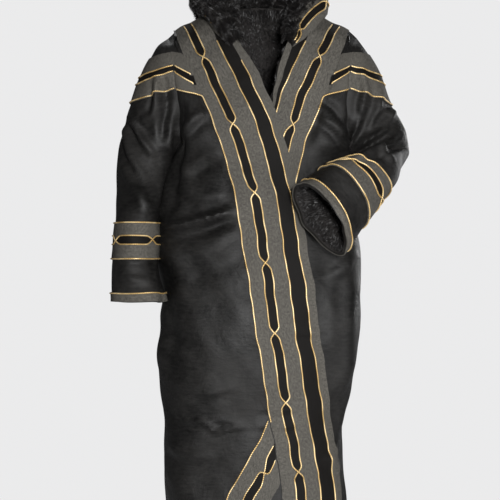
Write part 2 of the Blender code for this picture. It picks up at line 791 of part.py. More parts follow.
def front_chain(cloth, low_row, name, finish):
    """The two crossing cords of a front band."""
    heights = [float(cloth.points[r, CORD_A, 2]) for r in range(TOP + 1)]

    def place(z, across):
        row = float(np.interp(z, heights, np.arange(TOP + 1)))
        return row, lerp(CORD_A, CORD_B, (across + 1) / 2)

    bottom, top = heights[low_row], heights[TOP] - CHAIN_TOP_GAP
    crossings = np.arange(CHAIN_FIRST_Z, HEM_Z, -CHAIN_PITCH)
    crossings = [z for z in crossings if bottom + CROSSING_HALF < z < top - CROSSING_HALF]
    names = [f"chain_{name}_1", f"chain_{name}_2"]
    stations = heights[UNDERARM:TOP]
    return chain(names, cloth, place, (bottom, top), crossings, stations, finish, on_band(), CROSSING_HALF)


def row_cord(name, cloth, row, columns, finish, closed=False, lift=None):
    lift = on_band() if lift is None else lift
    path = [cloth.at(row, column, lift) for column in columns]
    return cord(name, path[:-1] if closed else path, finish, closed)


def column_path(cloth, rows, column, lift=None):
    lift = on_band() if lift is None else lift
    return [cloth.at(row, column, lift) for row in rows]


def build_fronts(right, left, woven, gold):
    """The front bands with their pipings and chains, and the shoulder bands up to the armholes."""
    band_end, cord_end = (int(right.row_at(z)) for z in (LEFT_BAND_END_Z, LEFT_CORD_END_Z))
    for side, name, cloth, low in ((RIGHT, "right", right, 0), (LEFT, "left", left, cord_end)):
        start = 0 if side == RIGHT else band_end
        band(f"front_band_{name}", cloth, slice(start, TOP + 1), slice(EDGE, OUTER + 1), woven)
        shoulder_rows = slice(SHOULDER_GOLD, SHOULDER_TOP + 1)
        band(f"shoulder_band_{name}", cloth, shoulder_rows, slice(OUTER, SEAM + 1), woven)
        under_collar = list(range(low, TOP - 1))
        if side == RIGHT:
            cord(f"piping_inner_{name}", column_path(cloth, under_collar[:-1], INNER), gold)
        cord(f"piping_middle_{name}", column_path(cloth, under_collar, MIDDLE), gold)
        front_chain(cloth, low, name, gold)
        along = list(np.arange(SEAM - SEAM_STOP, OUTER, -1.0))
        path = [cloth.at(SHOULDER_GOLD, column, on_band()) for column in along]
        start = cloth.row_at(LOWER_BAND_TOP_Z) if side == RIGHT else low
        down = [row for row in range(SHOULDER_GOLD, low - 1, -1) if row > start]
        path += [cloth.at(row, OUTER - PIPING_INSET, on_band()) for row in down + [start]]
        cord(f"piping_outer_{name}", path, gold)
        for row, height in ((SHOULDER_LOW_CORD, "low"), (SHOULDER_HIGH_CORD, "high")):
            columns = [OUTER + SHOULDER_CORD_START, *range(OUTER + 1, SEAM), SEAM - SEAM_STOP]
            row_cord(f"cord_shoulder_{height}_{name}", cloth, row, columns, gold)


def lower_band_net(right):
    """The net of the lower band, laid on the right front from the front band's line to the hem."""
    z_all = LOWER_BAND["z"]

    def spot(width, z):
        slope = smooth(z_all, LOWER_BAND["x"], z + 0.01) - smooth(z_all, LOWER_BAND["x"], z - 0.01)
        direction = unit(np.array([slope, 0.02]))
        x = smooth(z_all, LOWER_BAND["x"], z)
        return x + width * direction[1], z - width * direction[0]

    def start_of(width):
        z, lowest, step = LOWER_BAND_SEARCH
        while z > lowest:
            x, spot_z = spot(width, z)
            if x < line_x(RIGHT, OUTER, spot_z) - LOWER_BAND_TUCK:
                break
            z -= step
        return z

    starts = [start_of(width) for width in LOWER_BAND_WIDTHS]
    points = np.zeros((LOWER_BAND_ROWS + 1, len(LOWER_BAND_WIDTHS), 3))
    normals = np.zeros_like(points)
    for j, width in enumerate(LOWER_BAND_WIDTHS):
        for i in range(LOWER_BAND_ROWS + 1):
            z = lerp(starts[j], HEM_Z + LOWER_HEM_GAP, i / LOWER_BAND_ROWS)
            x, spot_z = spot(width, z)
            spot_z = max(spot_z, HEM_Z + LOWER_HEM_GAP)
            row = right.row_at(spot_z)
            column = right.column_at(row, x)
            points[i, j] = right.at(row, column, 0.0)
            normals[i, j] = unit(right.at(row, column, 1.0) - right.at(row, column, 0.0))
    return Cloth(points, normals)


def build_lower_band(right, woven, gold):
    cloth = lower_band_net(right)
    everything = slice(None)
    band("lower_band_right", cloth, everything, everything, woven, lift=LOWER_BAND_LIFT)
    lift = LOWER_BAND_LIFT + on_band()
    rows = [PIPING_INSET, *range(1, LOWER_BAND_ROWS + 1)]
    cord("piping_lower", [cloth.at(row, PIPING_INSET, lift) for row in rows], gold)

    def place(row, across):
        return row, lerp(1.0, 2.0, (across + 1) / 2)

    ends = (LOWER_CHAIN_START, LOWER_BAND_ROWS)
    stations = range(1, LOWER_BAND_ROWS)
    names = ["chain_lower_1", "chain_lower_2"]
    chain(names, cloth, place, ends, LOWER_CROSSINGS, stations, gold, lift, LOWER_CROSSING_HALF)


def build_sleeve(side, name, cloth, woven, gold):
    """The bands and cords of one sleeve: over the shoulder, round the forearm and at the cuff."""

    def cap(row):
        return CHEST_COUNT - 1 - (row - LOWER_ROWS)

    columns = slice(None)
    cap_rows = slice(cap(SHOULDER_TOP), cap(SHOULDER_GOLD) + 1)
    band(f"sleeve_top_band_{name}", cloth, cap_rows, columns, woven)
    across = [SEAM_STOP, *range(1, SLEEVE_COLUMNS), SLEEVE_COLUMNS - SEAM_STOP]
    row_cord(f"piping_sleeve_top_{name}", cloth, cap(SHOULDER_GOLD) - PIPING_INSET, across, gold)
    row_cord(f"cord_sleeve_top_low_{name}", cloth, cap(SHOULDER_LOW_CORD), across, gold)
    row_cord(f"cord_sleeve_top_high_{name}", cloth, cap(SHOULDER_HIGH_CORD), across, gold)

    rows = {key: CHEST_COUNT - 1 + value for key, value in RING_ROWS[side].items()}
    forearm_rows = slice(rows["top"], rows["bottom"] + 1)
    band(f"forearm_band_{name}", cloth, forearm_rows, columns, woven, closed=True)
    cuff_rows = slice(rows["edge_gold"], rows["cuff"] + 1)
    band(f"cuff_band_{name}", cloth, cuff_rows, columns, woven, closed=True)
    around = list(range(SLEEVE_COLUMNS + 1))
    places = {
        "forearm_top": rows["top"] + PIPING_INSET,
        "forearm_bottom": rows["bottom"] - PIPING_INSET,
        "cuff": rows["edge_gold"] + CUFF_PIPING_INSET,
    }
    for where, row in places.items():
        row_cord(f"piping_{where}_{name}", cloth, row, around, gold, closed=True)

    def place(column, across_band):
        return lerp(rows["cord_a"], rows["cord_b"], (across_band + 1) / 2), column % SLEEVE_COLUMNS

    names = [f"chain_forearm_{name}_1", f"chain_forearm_{name}_2"]
    ends = (0.0, float(SLEEVE_COLUMNS))
    around = range(1, SLEEVE_COLUMNS)
    half = FOREARM_CROSSING_HALF
    chain(names, cloth, place, ends, FOREARM_CROSSINGS, around, gold, on_band(), half, closed=True)


def neckline(right, back, left):
    """Points and normals round the neck, from the tip of the right front to the tip of the left."""
    on_right = [(right, TOP, c) for c in (EDGE, STRIP, INNER)]
    on_back = [(back, TOP, c) for c in range(NECK_COLUMN + 1, BACK_COLUMNS - NECK_COLUMN)]
    on_left = [(left, TOP, c) for c in (INNER, STRIP, EDGE)]
    spots = on_right + on_back + on_left
    points = np.array([cloth.points[r, c] for cloth, r, c in spots])
    normals = np.array([cloth.normals[r, c] for cloth, r, c in spots])
    return points, normals


def shoulder_height(x, y):
    """The height of the shoulders at a place seen from above."""
    depth = section("front" if y < 0 else "back", SHOULDER_TIP_Z)
    depth *= (1 - min(abs(x) / half_width(x, SHOULDER_TIP_Z), 1.0) ** ROUNDNESS) ** (1 / ROUNDNESS)
    level = (1 - min(abs(y) / depth, 0.999) ** SHOULDER_ROUNDNESS) ** (1 / SHOULDER_ROUNDNESS)
    return UNDERARM_Z + (ridge(x) - UNDERARM_Z) * level


def shoulder_point(x, y, lift):
    """A point above the shoulders, off them by lift."""
    step = 0.006
    slope_x = (shoulder_height(x + step, y) - shoulder_height(x - step, y)) / (2 * step)
    slope_y = (shoulder_height(x, y + step) - shoulder_height(x, y - step)) / (2 * step)
    return np.array([x, y, shoulder_height(x, y)]) + lift * unit(np.array([-slope_x, -slope_y, 1.0]))


def collar_net(right, back, left):
    points, normals = neckline(right, back, left)
    travelled = np.append(0, np.cumsum(np.linalg.norm(np.diff(points, axis=0), axis=1)))
    shares = np.linspace(0, 1, COLLAR_COLUMNS + 1)
    reads = shares * travelled[-1]
    sewn = np.array([[np.interp(s, travelled, points[:, k]) for k in range(3)] for s in reads])
    base = np.array([[smooth(travelled, points[:, k], s) for k in range(3)] for s in reads])
    up = unit(np.array([[smooth(travelled, normals[:, k], s) for k in range(3)] for s in reads]))
    out = unit(np.cross(up, unit(np.gradient(base, axis=0))))
    rise = unit(up + np.array([0.0, 0.0, COLLAR_UPRIGHT]))
    net = np.zeros((len(COLLAR_ROWS["left"]), COLLAR_COLUMNS + 1, 3))
    halves = np.zeros(net.shape[:2])
    for column, share in enumerate(shares):
        at = {name: float(smooth(COLLAR["share"], COLLAR[name], share)) for name in COLLAR}
        near = min(share, 1 - share)
        in_front = float(ease((COLLAR_FRONT_SHARE - near) / COLLAR_FRONT_FADE))
        lift = COLLAR_LIFT + COLLAR_FRONT_LIFT * in_front
        inset = COLLAR_INSET + COLLAR_FRONT_INSET * in_front
        seam = sewn[column] + lift * up[column] - inset * out[column]
        open_out = float(ease((share - COLLAR_OPENS_AT) / COLLAR_OPENS_OVER))
        edge = shoulder_point(at["edge_x"], at["edge_y"], COLLAR_EDGE_LIFT)
        neck_side = base[column] - at["lean"] * out[column] + at["stand"] * rise[column]
        outer_side = edge + at["spread"] * out[column] + at["fall"] * rise[column]
        for k in range(net.shape[0]):
            t = lerp(COLLAR_ROWS["right"][k], COLLAR_ROWS["left"][k], open_out)
            u = 1 - t
            roll = 3 * u * u * t * neck_side + 3 * u * t * t * outer_side
            net[k, column] = u**3 * seam + roll + t**3 * edge
        tip = lerp(COLLAR_TIP_THIN, 1.0, float(ease(near / COLLAR_TIP_SHARE)))
        halves[:, column] = FUR_WALL / 2 * tip * COLLAR_ROWS["thickness"]
    normals = shared_normals({"collar": net}, {"collar": 1.0})["collar"]
    return Cloth(net, normals), halves


def build_collar(right, back, left, fur, woven, gold):
    cloth, halves = collar_net(right, back, left)
    thick = halves[:, :, None] * cloth.normals
    wall("collar", cloth.points + thick, cloth.points - thick, fur)
    face = Cloth(cloth.points + thick, cloth.normals)
    last = cloth.points.shape[0] - 1
    band("collar_border", face, slice(BORDER_FIRST, last + 1), slice(None), woven)
    columns = [COLLAR_CORD_START, *range(1, COLLAR_COLUMNS), COLLAR_COLUMNS - COLLAR_CORD_START]
    for row, name in ((BORDER_FIRST + 1, "cord_collar_inner"), (BORDER_FIRST + 2, "cord_collar_outer")):
        row_cord(name, face, row, columns, gold)


def main():
    for piece in list(bpy.data.objects):
        bpy.data.objects.remove(piece, do_unlink=True)
    black = material("black_napped_cloth", (0.013, 0.013, 0.014), 0.85)
    woven = material("grey_woven_band", (0.085, 0.083, 0.080), 0.8)
    gold = material("gold_cord", (0.60, 0.38, 0.11), 0.35, 0.6)
    fur = material("black_fur", (0.012, 0.010, 0.010), 0.9)

    nets = {
        "front_right": front_net(RIGHT),
        "front_left": front_net(LEFT),
        "back": back_net(),
        "sleeve_right": sleeve_net(RIGHT),
        "sleeve_left": sleeve_net(LEFT),
    }
    flips = {"front_right": -1.0, "front_left": 1.0, "back": -1.0, "sleeve_right": 1.0, "sleeve_left": -1.0}
    normals = shared_normals(nets, flips)
    for name in ("front_right", "front_left"):
        straighten_shoulder(normals[name][TOP])
    for name, net in nets.items():
        raise_underarm(net, normals[name])
    cloths = {name: Cloth(net, normals[name]) for name, net in nets.items()}
    for name, cloth in cloths.items():
        open_rows = CHEST_COUNT - 1 if name.startswith("sleeve") else None
        wall(name, cloth.moved(0.0), cloth.moved(-CLOTH_WALL), black, open_rows)
    build_fronts(cloths["front_right"], cloths["front_left"], woven, gold)
    build_lower_band(cloths["front_right"], woven, gold)
    for side, name in ((RIGHT, "right"), (LEFT, "left")):
        build_sleeve(side, name, cloths[f"sleeve_{name}"], woven, gold)
    build_collar(cloths["front_right"], cloths["back"], cloths["front_left"], fur, woven, gold)


if __name__ == "__main__":
    main()
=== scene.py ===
"""Farwa cloak: the looks of a wrap-over winter coat with woven bands, gold cords and a fur collar.

Metres, +Z up. The front faces -Y and the wearer's right side is -X. The nets of the panels are those of
the part's source. Here they are read as smooth surfaces, creased, and given their wall, nap, weave,
twisted cords and fur.
"""

import math

import bmesh
import bpy
import numpy as np
from bpy.props import FloatProperty, FloatVectorProperty, IntProperty, PointerProperty
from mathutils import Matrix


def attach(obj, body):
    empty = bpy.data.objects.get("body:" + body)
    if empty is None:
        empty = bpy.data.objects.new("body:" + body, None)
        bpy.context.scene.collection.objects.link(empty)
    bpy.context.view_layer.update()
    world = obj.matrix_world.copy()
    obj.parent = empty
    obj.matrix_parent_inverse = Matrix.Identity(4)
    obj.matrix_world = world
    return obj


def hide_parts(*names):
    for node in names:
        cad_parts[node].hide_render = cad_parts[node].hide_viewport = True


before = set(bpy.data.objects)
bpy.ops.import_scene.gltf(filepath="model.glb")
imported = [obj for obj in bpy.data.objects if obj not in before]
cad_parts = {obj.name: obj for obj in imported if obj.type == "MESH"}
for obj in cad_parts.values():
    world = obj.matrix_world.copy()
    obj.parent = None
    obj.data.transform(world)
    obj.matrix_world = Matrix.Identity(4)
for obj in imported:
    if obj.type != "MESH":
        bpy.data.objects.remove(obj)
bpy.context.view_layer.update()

bl_info = {
    "name": "Farwa Cloak",
    "version": (1, 0, 0),
    "blender": (4, 5, 0),
    "location": "3D View > Sidebar > Cloak",
    "description": "Dresses a farwa cloak in napped cloth, woven bands, gold cords and fur",
    "category": "Add Mesh",
}

HEM_Z = -1.400
UNDERARM_Z = -0.300
SHOULDER_TIP_Z = -0.040
LOWER_ROWS = 16
SIDE_COLUMNS = 6
SLEEVE_COLUMNS = 18
COLLAR_COLUMNS = 26

CLOTH_WALL = 0.006
FUR_WALL = 0.012
BAND_WALL = 0.0018
CORD_RADIUS = 0.0015
LAY_GAP = 0.0007
# The left front lies in under the right one: how deep, from which height, and up to which turn past its
# edge in degrees. The last two values are those of the oval along whose normal it is pushed in.
LAP_DEPTH = 0.0135
LAP_TOP_Z = -0.110
LAP_START_HEIGHT = 0.06
LAP_REACH_TURN = 28
LAP_FADE_TURN = 14
LAP_OVAL_DEPTH = 0.15
LAP_OVAL_FRONT_Y = -0.001
# The two cords of a chain: half their distance, and where and how widely they cross.
CHAIN_HALF = 0.0095
CHAIN_PITCH = 0.144
CHAIN_FIRST_Z = -0.089
CROSSING_HALF = 0.016
CHAIN_TOP_GAP = 0.004
# How far pipings and cords stay off a seam or an edge, in columns and rows of the nets.
SEAM_STOP = 0.12
PIPING_INSET = 0.06
CUFF_PIPING_INSET = 0.1
OUTER_PIPING_INSET = 0.04
SHOULDER_CORD_START = 0.4
COLLAR_CORD_START = 0.4
LOWER_PIPING_START = 0.3

ROUNDNESS = 2.3
SHOULDER_ROUNDNESS = 1.9
RIGHT, LEFT = -1, 1
FRONT, BACK = -1, 1


def table(names, rows):
    """A table with named columns."""
    columns = zip(names.split(), zip(*rows))
    return {name: np.array(values, float) for name, values in columns}


# Level sections of the body: half width to the wearer's right and left, depth to the front and back.
# Above the underarm the widths are those of the imagined body, from which the armholes are cut.
SECTIONS = table(
    "z right left front back",
    [
        (-1.400, 0.208, 0.212, 0.168, 0.160),
        (-1.200, 0.203, 0.196, 0.158, 0.150),
        (-1.030, 0.205, 0.180, 0.151, 0.143),
        (-0.960, 0.211, 0.178, 0.148, 0.141),
        (-0.890, 0.211, 0.172, 0.147, 0.139),
        (-0.820, 0.215, 0.178, 0.150, 0.137),
        (-0.760, 0.220, 0.195, 0.155, 0.136),
        (-0.705, 0.224, 0.207, 0.158, 0.135),
        (-0.650, 0.2145, 0.211, 0.160, 0.135),
        (-0.600, 0.206, 0.211, 0.160, 0.135),
        (-0.500, 0.2185, 0.211, 0.157, 0.134),
        (-0.450, 0.2175, 0.206, 0.155, 0.133),
        (-0.400, 0.2145, 0.176, 0.150, 0.132),
        (-0.350, 0.2015, 0.168, 0.145, 0.131),
        (-0.300, 0.190, 0.190, 0.140, 0.130),
        (-0.200, 0.216, 0.216, 0.136, 0.128),
        (-0.100, 0.242, 0.242, 0.130, 0.126),
        (0.000, 0.262, 0.262, 0.125, 0.124),
        (0.100, 0.270, 0.270, 0.115, 0.120),
    ],
)

# The line of the shoulders from the middle of the neck out, seen from the front.
RIDGE = table(
    "x z",
    [
        (0.000, 0.100),
        (0.050, 0.058),
        (0.088, 0.023),
        (0.120, 0.009),
        (0.153, -0.008),
        (0.168, -0.014),
        (0.186, -0.025),
        (0.203, -0.040),
        (0.300, -0.155),
    ],
)
NECK_SIDE_X = 0.088
NECK_BACK_Z = 0.036

# The lines of the right front's band seen from the front, from its edge outwards.
RIGHT_LINES = table(
    "z edge inner middle chain outer",
    [
        (-1.400, 0.182, 0.165, 0.137, 0.099, 0.058),
        (-1.200, 0.177, 0.162, 0.133, 0.094, 0.054),
        (-1.000, 0.163, 0.149, 0.120, 0.080, 0.042),
        (-0.900, 0.151, 0.134, 0.103, 0.063, 0.026),
        (-0.800, 0.138, 0.120, 0.087, 0.046, 0.008),
        (-0.700, 0.124, 0.105, 0.073, 0.031, -0.008),
        (-0.600, 0.110, 0.091, 0.059, 0.017, -0.023),
        (-0.500, 0.094, 0.076, 0.045, 0.003, -0.039),
        (-0.400, 0.078, 0.060, 0.030, -0.013, -0.055),
        (-0.300, 0.056, 0.038, 0.007, -0.039, -0.077),
        (-0.250, 0.041, 0.022, -0.008, -0.055, -0.095),
        (-0.200, 0.024, 0.003, -0.027, -0.075, -0.115),
        (-0.150, 0.003, -0.019, -0.049, -0.096, -0.135),
        (-0.100, -0.021, -0.042, -0.073, -0.118, -0.156),
        (-0.060, -0.051, -0.066, -0.093, -0.137, -0.176),
    ],
)
LEFT_LINES = table(
    "z edge inner middle chain outer",
    [
        (-1.400, -0.100, -0.079, -0.048, -0.010, 0.028),
        (-1.000, -0.090, -0.069, -0.038, 0.000, 0.038),
        (-0.800, -0.085, -0.064, -0.033, 0.004, 0.042),
        (-0.600, -0.074, -0.053, -0.022, 0.016, 0.052),
        (-0.500, -0.062, -0.042, -0.014, 0.022, 0.058),
        (-0.400, -0.045, -0.028, -0.005, 0.032, 0.068),
        (-0.300, -0.020, -0.010, 0.001, 0.045, 0.088),
        (-0.250, -0.001, 0.007, 0.016, 0.059, 0.101),
        (-0.200, 0.019, 0.025, 0.032, 0.076, 0.120),
        (-0.150, 0.028, 0.038, 0.049, 0.094, 0.138),
        (-0.100, 0.038, 0.052, 0.070, 0.114, 0.156),
        (-0.060, 0.047, 0.064, 0.087, 0.132, 0.173),
    ],
)
LINES = {RIGHT: RIGHT_LINES, LEFT: LEFT_LINES}

# Where each column of a front ends: two on the neckline, then the shoulder seam from the neck out.
EDGE, STRIP, INNER, MIDDLE, CORD_A, CORD_B, OUTER = range(7)
FRONT_TOP_X = (0.051, 0.078, 0.088, 0.120, 0.153, 0.168, 0.186)
NECKLINE_Z = {EDGE: -0.060, STRIP: -0.020}
LINE_END_GAP = 0.012
SEAM = OUTER + SIDE_COLUMNS

# Rows of the chest and of the sleeve's cap: height on the armhole and on the front band's outer line.
CHEST_ROWS = table(
    "armhole outer",
    [
        (-0.300, -0.300),
        (-0.270, -0.275),
        (-0.225, -0.240),
        (-0.190, -0.205),
        (-0.157, -0.172),
        (-0.119, -0.150),
        (-0.108, -0.129),
        (-0.077, -0.082),
        (-0.055, -0.048),
        (-0.040, -0.025),
    ],
)
CHEST_COUNT = len(CHEST_ROWS["armhole"])
UNDERARM = LOWER_ROWS
TOP = LOWER_ROWS + CHEST_COUNT - 1
SHOULDER_GOLD = LOWER_ROWS + 4
SHOULDER_LOW_CORD = LOWER_ROWS + 5
SHOULDER_HIGH_CORD = LOWER_ROWS + 6
SHOULDER_TOP = LOWER_ROWS + 7

ARMHOLE_X = 0.190
ARMHOLE_TIP_X = 0.203
ARMHOLE_SCOOP = 0.018
ARMHOLE_BOW = {FRONT: 0.088, BACK: 0.092}

# Large soft folds that run down the cloth: middle, top and bottom, half width and height.
FOLDS = table(
    "face x z_top z_bottom half_width height",
    [
        (FRONT, -0.165, -0.42, -1.15, 0.032, 0.009),
        (FRONT, -0.095, -0.50, -0.92, 0.034, 0.007),
        (FRONT, 0.178, -0.52, -0.98, 0.024, 0.007),
        (BACK, -0.150, -0.45, -1.40, 0.034, 0.010),
        (BACK, -0.060, -0.60, -1.40, 0.036, 0.011),
        (BACK, 0.035, -0.40, -1.30, 0.034, 0.008),
        (BACK, 0.125, -0.55, -1.40, 0.036, 0.011),
    ],
)
FOLD_FADE = 0.16
FOLD_SIDE_FADE = 0.25

# Outer points of the sleeve caps, one for each chest row, from the underarm up to the shoulder tip.
CAPS = {
    RIGHT: table(
        "x y z",
        [
            (0.3125, 0.000, -0.345),
            (0.308, 0.000, -0.290),
            (0.300, 0.000, -0.247),
            (0.292, 0.000, -0.215),
            (0.2815, 0.000, -0.182),
            (0.2665, 0.000, -0.142),
            (0.261, 0.000, -0.127),
            (0.241, 0.000, -0.088),
            (0.2235, 0.000, -0.058),
            (0.203, 0.000, -0.040),
        ],
    ),
    LEFT: table(
        "x y z",
        [
            (0.3165, 0.008, -0.272),
            (0.311, 0.006, -0.245),
            (0.302, 0.009, -0.223),
            (0.292, 0.006, -0.206),
            (0.2795, 0.003, -0.185),
            (0.261, 0.001, -0.143),
            (0.253, 0.000, -0.125),
            (0.230, 0.000, -0.078),
            (0.218, 0.000, -0.059),
            (0.203, 0.000, -0.040),
        ],
    ),
}
CAP_DEPTH = 0.074
CAP_OPENS_OVER = 0.45
CAP_FULLNESS = 0.85

# Rings of the sleeves below the underarm: outer and inner point, half depth and the way that the
# depth faces. The rows named in RING_ROWS carry the pipings and cords.
RING_COLUMNS = "px py pz qx qy qz depth fx fy fz"
RINGS = {
    RIGHT: table(
        RING_COLUMNS,
        [
            (0.3125, -0.030, -0.395, 0.2140, -0.045, -0.390, 0.074, 0, -1, 0),
            (0.3110, -0.050, -0.436, 0.2190, -0.056, -0.436, 0.074, 0, -1, 0),
            (0.3125, -0.058, -0.465, 0.2195, -0.060, -0.465, 0.073, 0, -1, 0),
            (0.3130, -0.061, -0.483, 0.2195, -0.062, -0.483, 0.073, 0, -1, 0),
            (0.3145, -0.065, -0.515, 0.2190, -0.066, -0.515, 0.072, 0, -1, 0),
            (0.3160, -0.070, -0.548, 0.2130, -0.071, -0.548, 0.072, 0, -1, 0),
            (0.3170, -0.080, -0.583, 0.2040, -0.081, -0.583, 0.072, 0, -1, 0),
            (0.3170, -0.084, -0.602, 0.2005, -0.085, -0.602, 0.072, 0, -1, 0),
        ],
    ),
    LEFT: table(
        RING_COLUMNS,
        [
            (0.3175, 0.018, -0.286, 0.195, -0.020, -0.310, 0.070, 0.02, -0.98, 0.20),
            (0.310, 0.012, -0.303, 0.194, -0.050, -0.310, 0.066, 0.13, -0.91, 0.35),
            (0.298, -0.006, -0.322, 0.188, -0.084, -0.304, 0.062, 0.30, -0.82, 0.45),
            (0.284, -0.036, -0.352, 0.181, -0.112, -0.304, 0.058, 0.45, -0.74, 0.45),
            (0.2557, -0.080, -0.386, 0.168, -0.138, -0.308, 0.054, 0.58, -0.66, 0.40),
            (0.238, -0.105, -0.405, 0.156, -0.156, -0.313, 0.052, 0.62, -0.66, 0.36),
            (0.227, -0.121, -0.417, 0.148, -0.166, -0.316, 0.051, 0.63, -0.68, 0.33),
            (0.200, -0.158, -0.449, 0.130, -0.190, -0.326, 0.049, 0.64, -0.70, 0.28),
            (0.184, -0.175, -0.472, 0.112, -0.204, -0.338, 0.047, 0.65, -0.72, 0.22),
            (0.169, -0.192, -0.4945, 0.095, -0.225, -0.352, 0.046, 0.65, -0.73, 0.17),
            (0.1601, -0.200, -0.5046, 0.0775, -0.240, -0.361, 0.045, 0.65, -0.73, 0.17),
        ],
    ),
}
RING_ROWS = {
    RIGHT: {"top": 2, "cord_a": 3, "cord_b": 4, "bottom": 5, "edge_gold": 7, "cuff": 8},
    LEFT: {"top": 5, "cord_a": 6, "cord_b": 7, "bottom": 8, "edge_gold": 10, "cuff": 11},
}

# The collar round the neck, from the tip of the right front to the tip of the left: where its free
# edge lies on the shoulders seen from above, then the reach and rise of the roll at the neck side and
# the outer side. On the right the free edge curls under the roll, on the left it lies open.
COLLAR = table(
    "share edge_x edge_y lean stand spread fall",
    [
        (0.00, -0.060, -0.090, 0.008, 0.012, 0.004, 0.010),
        (0.09, -0.078, -0.080, 0.023, 0.038, 0.017, 0.026),
        (0.18, -0.102, -0.058, 0.044, 0.063, 0.036, 0.046),
        (0.27, -0.121, -0.014, 0.070, 0.080, 0.052, 0.074),
        (0.37, -0.110, 0.048, 0.050, 0.086, 0.034, 0.076),
        (0.50, 0.000, 0.092, 0.030, 0.086, 0.010, 0.074),
        (0.63, 0.112, 0.048, 0.044, 0.084, 0.000, 0.066),
        (0.73, 0.131, -0.012, 0.066, 0.080, -0.006, 0.056),
        (0.82, 0.112, -0.054, 0.046, 0.066, 0.016, 0.050),
        (0.91, 0.086, -0.077, 0.024, 0.042, 0.012, 0.034),
        (1.00, 0.060, -0.092, 0.008, 0.012, 0.002, 0.010),
    ],
)
# Where the rows of the collar lie between its seam and its edge, and how thick its wall is there.
COLLAR_ROWS = table(
    "right left thickness",
    [
        (0.00, 0.00, 0.55),
        (0.14, 0.12, 0.90),
        (0.30, 0.24, 1.00),
        (0.46, 0.38, 1.00),
        (0.61, 0.54, 1.00),
        (0.76, 0.69, 0.90),
        (0.84, 0.79, 0.80),
        (0.92, 0.89, 0.60),
        (1.00, 1.00, 0.35),
    ],
)
COLLAR_LIFT = 0.0012
COLLAR_INSET = 0.0042
COLLAR_FRONT_LIFT = 0.0012
COLLAR_FRONT_INSET = 0.0048
COLLAR_EDGE_LIFT = 0.0105
COLLAR_TIP_SHARE = 0.24
COLLAR_TIP_THIN = 0.45
COLLAR_FRONT_SHARE = 0.28
COLLAR_FRONT_FADE = 0.05
COLLAR_OPENS_AT = 0.27
COLLAR_OPENS_OVER = 0.16
COLLAR_UPRIGHT = 0.7
BORDER_FIRST = 5
BORDER_MIDDLE = BORDER_FIRST + 1.5

# The lower band of the right front: its outer piping seen from the front, and the other lines' widths.
LOWER_BAND = table(
    "z x",
    [
        (-1.400, -0.168),
        (-1.300, -0.150),
        (-1.200, -0.127),
        (-1.100, -0.100),
        (-1.010, -0.073),
        (-0.930, -0.032),
        (-0.847, 0.010),
        (-0.750, 0.060),
    ],
)
LOWER_BAND_WIDTHS = (0.0, 0.031, 0.049, 0.080)
LOWER_BAND_ROWS = 18
LOWER_BAND_LIFT = 0.0026
LOWER_BAND_TOP_Z = -0.850
LOWER_BAND_SEARCH = (-0.760, -1.200, 0.001)
LOWER_BAND_TUCK = 0.0025
LOWER_HEM_GAP = 0.001
LOWER_CROSSINGS = (1.6, 5.9, 10.2, 14.5)
LOWER_CROSSING_HALF = 0.6
LOWER_CHAIN_START = 0.15
LOWER_CHAIN_COLUMNS = (4.0, 6.0)
LEFT_BAND_END_Z = -0.45
LEFT_CORD_END_Z = -0.36
FOREARM_CROSSINGS = (2, 7, 11, 16)
FOREARM_CROSSING_HALF = 1.0

# Where the columns of the back end, from the shoulder tip to the middle of the neck, and which of
# them carry the armhole and the side of the neck.
BACK_TOPS = (0.203, 0.186, 0.168, 0.153, 0.120, 0.088, 0.066, 0.035, 0.0)
BACK_COLUMNS = 2 * (len(BACK_TOPS) - 1)
BACK_INNER = 4
NECK_COLUMN = 5

LOWER_BAND_COLUMNS = 10
LOWER_BAND_STEPS = 5
COLLAR_CURLED_COLUMNS = 9.5
COLLAR_TIP_REACH = 0.07
COLLAR_CORD_DIP = 0.0018
COLLAR_BASE_COLUMNS = (8.0, 18.0)
COLLAR_CROSSINGS = (2.5, 6.5, 11.0, 15.0, 19.5, 23.5)
COLLAR_CROSSING_HALF = 0.7
# At how many places the path of each chain is read.
LOWER_CHAIN_PLACES = 420
COLLAR_CHAIN_PLACES = 640
FOREARM_CHAIN_PLACES = 360

# The cords: the length of a step along them, the sides of their section, the depth of the groove between
# their plies, how much fuller they are than the solids, and how they pass over each other and lie sunk.
CORD_STEP = 0.0014
CORD_SIDES = 8
CORD_GROOVE = 0.26
CORD_FULLNESS = 1.04
CORD_UV_SCALE = 100
CORD_OVER = 0.0026
CORD_OVER_SHARE = 0.55
CORD_SUNK = 0.0010
COLLAR_UV_STEPS = (0.03, 0.01)
COLLAR_SHARP_ANGLE = 60.0
# A reading far outside of a band's black strip.
NO_STRIP = 9.0

# How far the lower and upper part of a strand follow the surface's normal, the flow, the swirl of the
# fur round about and a way of their own. Then the parts' shares of its length, how it is drawn to the
# middle of its tuft, its least and greatest share of the length asked for, and its width.
STRAND_LOW = (1.0, 1.0, 0.55, 0.22)
STRAND_HIGH = (0.35, 1.5, 0.9, 0.3)
STRAND_PARTS = (0.55, 0.45)
STRAND_PULL = 0.35
STRAND_LENGTHS = (0.7, 1.15)
STRAND_WIDTH = 0.0007
STRAND_TAPER = 0.8
STRAND_HEIGHTS = (0.0, 0.0, 0.55, 0.55, 1.0)
FLOW_STEP = 0.05
# The collar's fur turns to the collar's tips on their last stretch.
TIP_FLOW_ROW = 3.0
TIP_FLOW_STEP = 0.2
TIP_FLOW_SHARE = 2.0
